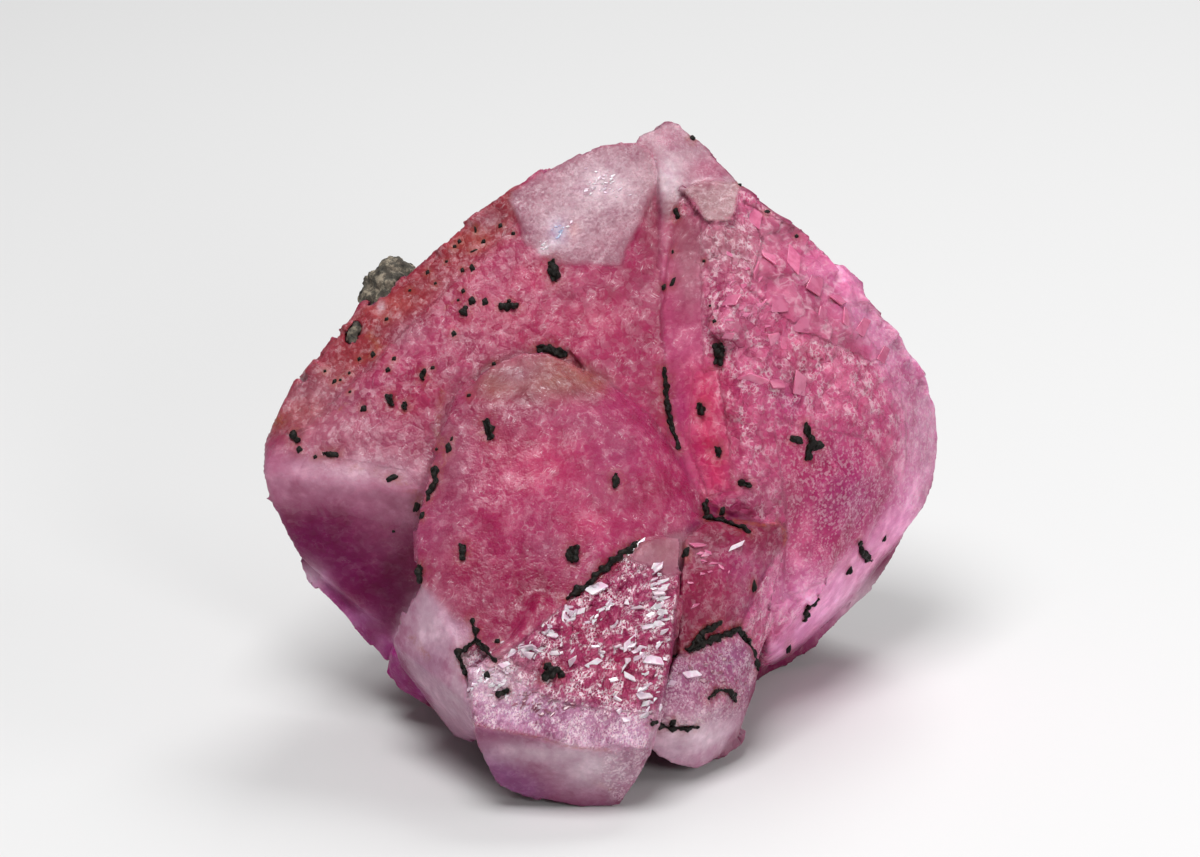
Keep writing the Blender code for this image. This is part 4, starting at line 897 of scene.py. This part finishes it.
def plate_material():
    """Bright, glossy growth plates, clear enough to take the pink from below; a white tint on them is painted
    reflection.
    """
    material, tree, shader = principled("bright_calcite_plates")
    position = add_node(tree, "ShaderNodeTexCoord").outputs["Object"]
    noise = noise_node(tree, position, 0.9 * MM, 3.0).outputs[0]
    tint = attribute(tree, "tint").outputs["Color"]
    shade = vector_maths(tree, "MULTIPLY", tint, (0.85, 0.65, 0.76))
    colour = mix_colour(tree, ramp(tree, noise, 0.35, 0.6), shade, tint)
    tree.links.new(colour, shader.inputs["Base Color"])
    tree.links.new(times(tree, noise, 0.3), shader.inputs["Roughness"])
    let_light_in(shader, 0.4, 0.6 * MM)
    return material


def dark_material(colours):
    """Near-black brown crystals with a dull gloss."""
    material, tree, shader = principled("dark_crystal_crust")
    position = add_node(tree, "ShaderNodeTexCoord").outputs["Object"]
    noise = noise_node(tree, position, 0.45 * MM, 5.0, 0.7).outputs[0]
    colour = mix_colour(tree, ramp(tree, noise, 0.52, 0.75), (*colours.dark, 1.0), tone_four(48, 36, 24))
    tree.links.new(colour, shader.inputs["Base Color"])
    tree.links.new(maths(tree, "ADD", 0.22, times(tree, noise, 0.4)), shader.inputs["Roughness"])
    shader.inputs["Specular IOR Level"].default_value = 0.2
    raise_surface(tree, shader, times(tree, noise, 0.12 * MM))
    return material


def rock_material(colours):
    """Mottled grey-brown host rock, matte, with pale and dark grains."""
    material, tree, shader = principled("mottled_host_rock")
    position = add_node(tree, "ShaderNodeTexCoord").outputs["Object"]
    mottle = noise_node(tree, position, 1.6 * MM, 6.0, 0.7).outputs[0]
    grain = add_node(tree, "ShaderNodeTexVoronoi", {"Vector": position, "Scale": 1.0 / (0.5 * MM)})
    grain_tone = first_channel(tree, grain.outputs["Color"])
    colour = mix_colour(tree, ramp(tree, mottle, 0.5, 0.6), (*colours.rock, 1.0), tone_four(152, 140, 122))
    colour = mix_colour(tree, ramp(tree, mottle, 0.48, 0.4), colour, tone_four(34, 31, 29))
    colour = mix_colour(tree, times(tree, ramp(tree, grain_tone, 0.7, 0.9), 0.5), colour,
                        tone_four(70, 60, 52))
    tree.links.new(colour, shader.inputs["Base Color"])
    shader.inputs["Roughness"].default_value = 0.8
    height = maths(tree, "ADD", times(tree, mottle, 0.5 * MM),
                   times(tree, grain_tone, 0.08 * MM))
    raise_surface(tree, shader, height)
    return material


def finish_piece(piece, material, nodes=()):
    """Gives a piece its material and its place in the frame."""
    piece.data.materials.clear()
    piece.data.materials.append(material)
    make_active(piece)
    bpy.ops.object.shade_smooth()
    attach(piece, BODY)
    if nodes:
        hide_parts(*nodes)


class CALCITE_OT_crystals(bpy.types.Operator):
    """Models the calcite cluster with its growth plates and its broken back"""

    bl_idname = "calcite.crystals"
    bl_label = "Calcite crystals"

    def execute(self, context):
        sizes, colours = context.scene.specimen_sizes, context.scene.specimen_colours
        piece = start_from("calcite_crystals", ["calcite_cluster"])
        apply_modifier(piece, "REMESH", mode="VOXEL", voxel_size=sizes.calcite_mesh)
        apply_modifier(piece, "SMOOTH", factor=0.5, iterations=CALCITE_SMOOTHING)
        mark_soft_zones(piece)
        apply_modifier(piece, "SMOOTH", factor=0.5, iterations=WORN_SMOOTHING, vertex_group="soft")
        piece.vertex_groups.clear()
        paint_zones(piece.data)
        apply_modifier(piece, "NODES", node_group=relief_tree(sizes))
        triangles = 2 * len(piece.data.polygons)
        apply_modifier(piece, "DECIMATE", ratio=min(1.0, sizes.calcite_triangles / triangles))
        paint_zones(piece.data)
        paint_rust(piece.data)
        finish_piece(piece, calcite_material("pink_calcite_crystal", colours, FACE_REFLECTION),
                     ["calcite_cluster"])
        piece.data.materials.append(calcite_material("deep_calcite_crystal", colours, DEEP_FACE_REFLECTION))
        for face in piece.data.polygons:
            face.material_index = int(piece.data.attributes["deep"].data[face.vertices[0]].value > 0.5)
        return {"FINISHED"}


class CALCITE_OT_dark_crystals(bpy.types.Operator):
    """Models the dark crystals that are seated in the calcite"""

    bl_idname = "calcite.dark_crystals"
    bl_label = "Dark crystals"

    def execute(self, context):
        sizes, colours = context.scene.specimen_sizes, context.scene.specimen_colours
        piece = start_from("dark_crystals", DARK_NODES)
        apply_modifier(piece, "DISPLACE", strength=sizes.dark_growth, mid_level=0.0)
        apply_modifier(piece, "REMESH", mode="VOXEL", voxel_size=sizes.dark_mesh)
        apply_modifier(piece, "SMOOTH", factor=0.5, iterations=DARK_SMOOTHING)
        roughen(piece, "dark_lumps", "VORONOI", 0.9 * MM, -0.7 * MM, 0.35, noise_intensity=1.0)
        roughen(piece, "dark_grains", "CLOUDS", 0.45 * MM, 0.35 * MM, 0.5, noise_depth=2)
        finish_piece(piece, dark_material(colours), DARK_NODES)
        return {"FINISHED"}


def seat(surface, across, up):
    """The point of the calcite at a place of the display plane, and its normal there."""
    spot, normal, _, _ = surface.ray_cast(place(across, up, LOOK_FROM), -OUT)
    if spot is None:
        raise RuntimeError(f"no calcite at {across}, {up}")
    return spot, normal


def select_vertices(piece, chosen):
    """Opens a piece in edit mode with the vertices selected whose place is chosen."""
    make_active(piece)
    bpy.ops.object.mode_set(mode="EDIT")
    bpy.ops.mesh.select_all(action="DESELECT")
    bpy.ops.object.mode_set(mode="OBJECT")
    for vertex in piece.data.vertices:
        vertex.select = chosen(vertex.co)
    bpy.ops.object.mode_set(mode="EDIT")


def model_plate(shear, narrow, back):
    """One growth plate with bevelled edges, a unit long and wide."""
    deselect()
    bpy.ops.mesh.primitive_cube_add(size=1.0)
    plate = bpy.context.object
    select_vertices(plate, lambda place_now: place_now.y > 0.0)
    bpy.ops.transform.translate(value=(shear, 0.0, 0.0))
    bpy.ops.object.mode_set(mode="OBJECT")
    middle = shear / 2.0
    select_vertices(plate, lambda place_now: place_now.x > middle)
    bpy.ops.transform.resize(value=(1.0, narrow, 1.0))
    bpy.ops.transform.translate(value=(0.0, back, 0.0))
    bpy.ops.object.mode_set(mode="OBJECT")
    apply_modifier(plate, "BEVEL", width=0.06, segments=2)
    return plate


class CALCITE_OT_bright_plates(bpy.types.Operator):
    """Models the growth plates and sets copies of them on the glossy faces"""

    bl_idname = "calcite.bright_plates"
    bl_label = "Bright plates"

    def execute(self, context):
        surface = BVHTree.FromObject(bpy.data.objects["calcite_crystals"], context.evaluated_depsgraph_get())
        plates = [model_plate(*shape) for shape in PLATE_SHAPES]
        chooser = random.Random(PLATE_SEED)
        spots = [(name, *spot, 1.0) for name, group in BRIGHT_PLATES.items() for spot in group]
        for name, x, y, half_width, half_height, count, size in PLATE_CROWDS:
            for _ in range(count):
                length = size * chooser.uniform(0.5, 1.7)
                spots.append((name, x + half_width * chooser.gauss(0.0, 0.5),
                              y + half_height * chooser.gauss(0.0, 0.5), length,
                              length * chooser.uniform(0.35, 0.8), chooser.uniform(-20.0, 50.0), 0.75))
        copies = []
        for name, x, y, length, width, turn, rise in spots:
            spot, normal = seat(surface, x, y)
            shapes = plates if length < LONG_PLATE else plates[:BLUNT_SHAPES]
            copy = new_piece("plate", chooser.choice(shapes).data.copy())
            side = (ACROSS - normal * ACROSS.dot(normal)).normalized()
            stand = Matrix((side, normal.cross(side), normal)).transposed().to_4x4()
            size = Matrix.Diagonal((length * MM, width * MM, PLATE_THICKNESS, 1.0))
            lift = normal * PLATE_THICKNESS * (rise - 0.8)
            # The white and ice tints given here are painted reflections and glints.
            tint = np.array(TONES[name]) * chooser.uniform(0.8, 1.1)
            tint = np.tile((*tint, 1.0), (len(copy.data.vertices), 1))
            set_attribute(copy.data, "tint", "FLOAT_COLOR", tint)
            copy.data.transform(Matrix.Translation(spot + lift) @ stand
                                @ Matrix.Rotation(math.radians(turn), 4, "Z")
                                @ Matrix.Rotation(chooser.uniform(-0.2, 0.2), 4, "X") @ size)
            copies.append(copy)
        for plate in plates:
            bpy.data.objects.remove(plate)
        piece = join(copies, "bright_plates")
        finish_piece(piece, plate_material())
        return {"FINISHED"}


class CALCITE_OT_specks(bpy.types.Operator):
    """Models one dark grain and sets copies of it on the display side"""

    bl_idname = "calcite.specks"
    bl_label = "Dark specks"

    def execute(self, context):
        calcite = bpy.data.objects["calcite_crystals"]
        surface = BVHTree.FromObject(calcite, context.evaluated_depsgraph_get())
        deselect()
        bpy.ops.mesh.primitive_ico_sphere_add(subdivisions=4, radius=0.5)
        grain = context.object
        roughen(grain, "grain_lumps", "VORONOI", 0.6, -0.45, 0.45, noise_intensity=1.0)
        chooser = random.Random(SPECK_SEED)
        copies = []
        for x, y, width, height in SPECKS:
            spot, normal = seat(surface, x, y)
            copy = new_piece("speck", grain.data.copy())
            depth = min(width, height) * 0.8
            frame_turn = Matrix((ACROSS, UP, OUT)).transposed().to_4x4()
            spin = Matrix.Rotation(chooser.uniform(-0.4, 0.4), 4, "Z")
            size = Matrix.Diagonal((width * MM, height * MM, depth * MM, 1.0))
            seated = Matrix.Translation(spot + normal * depth * 0.1 * MM)
            copy.data.transform(seated @ frame_turn @ spin @ size)
            copies.append(copy)
        bpy.data.objects.remove(grain)
        piece = join(copies, "dark_specks")
        finish_piece(piece, bpy.data.materials["dark_crystal_crust"])
        return {"FINISHED"}


class CALCITE_OT_host_rock(bpy.types.Operator):
    """Models the lump of host rock and its chip"""

    bl_idname = "calcite.host_rock"
    bl_label = "Host rock"

    def execute(self, context):
        sizes, colours = context.scene.specimen_sizes, context.scene.specimen_colours
        piece = start_from("host_rock_lumps", ROCK_NODES)
        apply_modifier(piece, "REMESH", mode="VOXEL", voxel_size=sizes.rock_mesh)
        for name, size, strength in (("rock_lumps", 1.6 * MM, 1.4 * MM), ("rock_grains", 0.6 * MM, 0.5 * MM)):
            roughen(piece, name, "CLOUDS", size, strength, 0.5, noise_depth=3)
        finish_piece(piece, rock_material(colours), ROCK_NODES)
        return {"FINISHED"}


def aim(item, target):
    """Turns a lamp or camera to a point."""
    item.rotation_euler = (target - item.location).to_track_quat("-Z", "Y").to_euler()


class CALCITE_OT_stage(bpy.types.Operator):
    """Sets the pale floor, the soft lights and the camera"""

    bl_idname = "calcite.stage"
    bl_label = "Stage"

    def execute(self, context):
        scene = context.scene
        deselect()
        bpy.ops.mesh.primitive_plane_add(size=FLOOR_SIZE, location=(0.0, 0.0, 0.0))
        floor = context.object
        floor.name = "floor"
        material, _, shader = principled("pale_floor")
        shader.inputs["Base Color"].default_value = (*scene.specimen_colours.floor, 1.0)
        shader.inputs["Roughness"].default_value = 0.6
        floor.data.materials.append(material)

        world = bpy.data.worlds.new("studio")
        scene.world = world
        world.use_nodes = True
        world.node_tree.nodes["Background"].inputs["Color"].default_value = (1.0, 1.0, 1.0, 1.0)
        world.node_tree.nodes["Background"].inputs["Strength"].default_value = WORLD_STRENGTH
        middle = place(*LIT_MIDDLE)
        for name, azimuth, elevation, distance, size, energy in STUDIO_LIGHTS:
            light = bpy.data.lights.new(name, "AREA")
            light.size = size
            light.energy = energy
            lamp = bpy.data.objects.new(name, light)
            scene.collection.objects.link(lamp)
            turn, rise = math.radians(azimuth), math.radians(elevation)
            way = Vector((math.sin(turn) * math.cos(rise), -math.cos(turn) * math.cos(rise), math.sin(rise)))
            lamp.location = middle + way * distance
            aim(lamp, middle)

        camera_data = bpy.data.cameras.new("camera")
        camera_data.lens = CAMERA_LENS
        camera_data.sensor_width = SENSOR_WIDTH
        camera = bpy.data.objects.new("camera", camera_data)
        scene.collection.objects.link(camera)
        camera.location = place(*PICTURE_MIDDLE, CAMERA_OUT)
        aim(camera, place(*PICTURE_MIDDLE, 0.0))
        scene.camera = camera
        scene.view_settings.view_transform = "Standard"
        return {"FINISHED"}


STEPS = ("crystals", "bright_plates", "dark_crystals", "specks", "host_rock", "stage")


class CALCITE_PT_specimen(bpy.types.Panel):
    """Lists the specimen's operators and settings"""

    bl_label = "Calcite specimen"
    bl_space_type = "VIEW_3D"
    bl_region_type = "UI"
    bl_category = "Calcite"

    def draw(self, context):
        for step in STEPS:
            self.layout.operator(f"calcite.{step}")
        for group in (context.scene.specimen_sizes, context.scene.specimen_colours):
            for name in group.bl_rna.properties.keys():
                if name not in ("rna_type", "name"):
                    self.layout.prop(group, name)


CLASSES = (SpecimenSizes, SpecimenColours, CALCITE_OT_crystals, CALCITE_OT_bright_plates,
           CALCITE_OT_dark_crystals, CALCITE_OT_specks, CALCITE_OT_host_rock, CALCITE_OT_stage,
           CALCITE_PT_specimen)


def register():
    """Registers the classes and the settings."""
    for item in CLASSES:
        bpy.utils.register_class(item)
    bpy.types.Scene.specimen_sizes = PointerProperty(type=SpecimenSizes)
    bpy.types.Scene.specimen_colours = PointerProperty(type=SpecimenColours)


def unregister():
    """Takes the settings and the classes away."""
    del bpy.types.Scene.specimen_colours
    del bpy.types.Scene.specimen_sizes
    for item in reversed(CLASSES):
        bpy.utils.unregister_class(item)


def main():
    """Models all pieces in order."""
    register()
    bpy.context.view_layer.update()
    for step in STEPS:
        getattr(bpy.ops.calcite, step)()


if __name__ == "__main__":
    main()
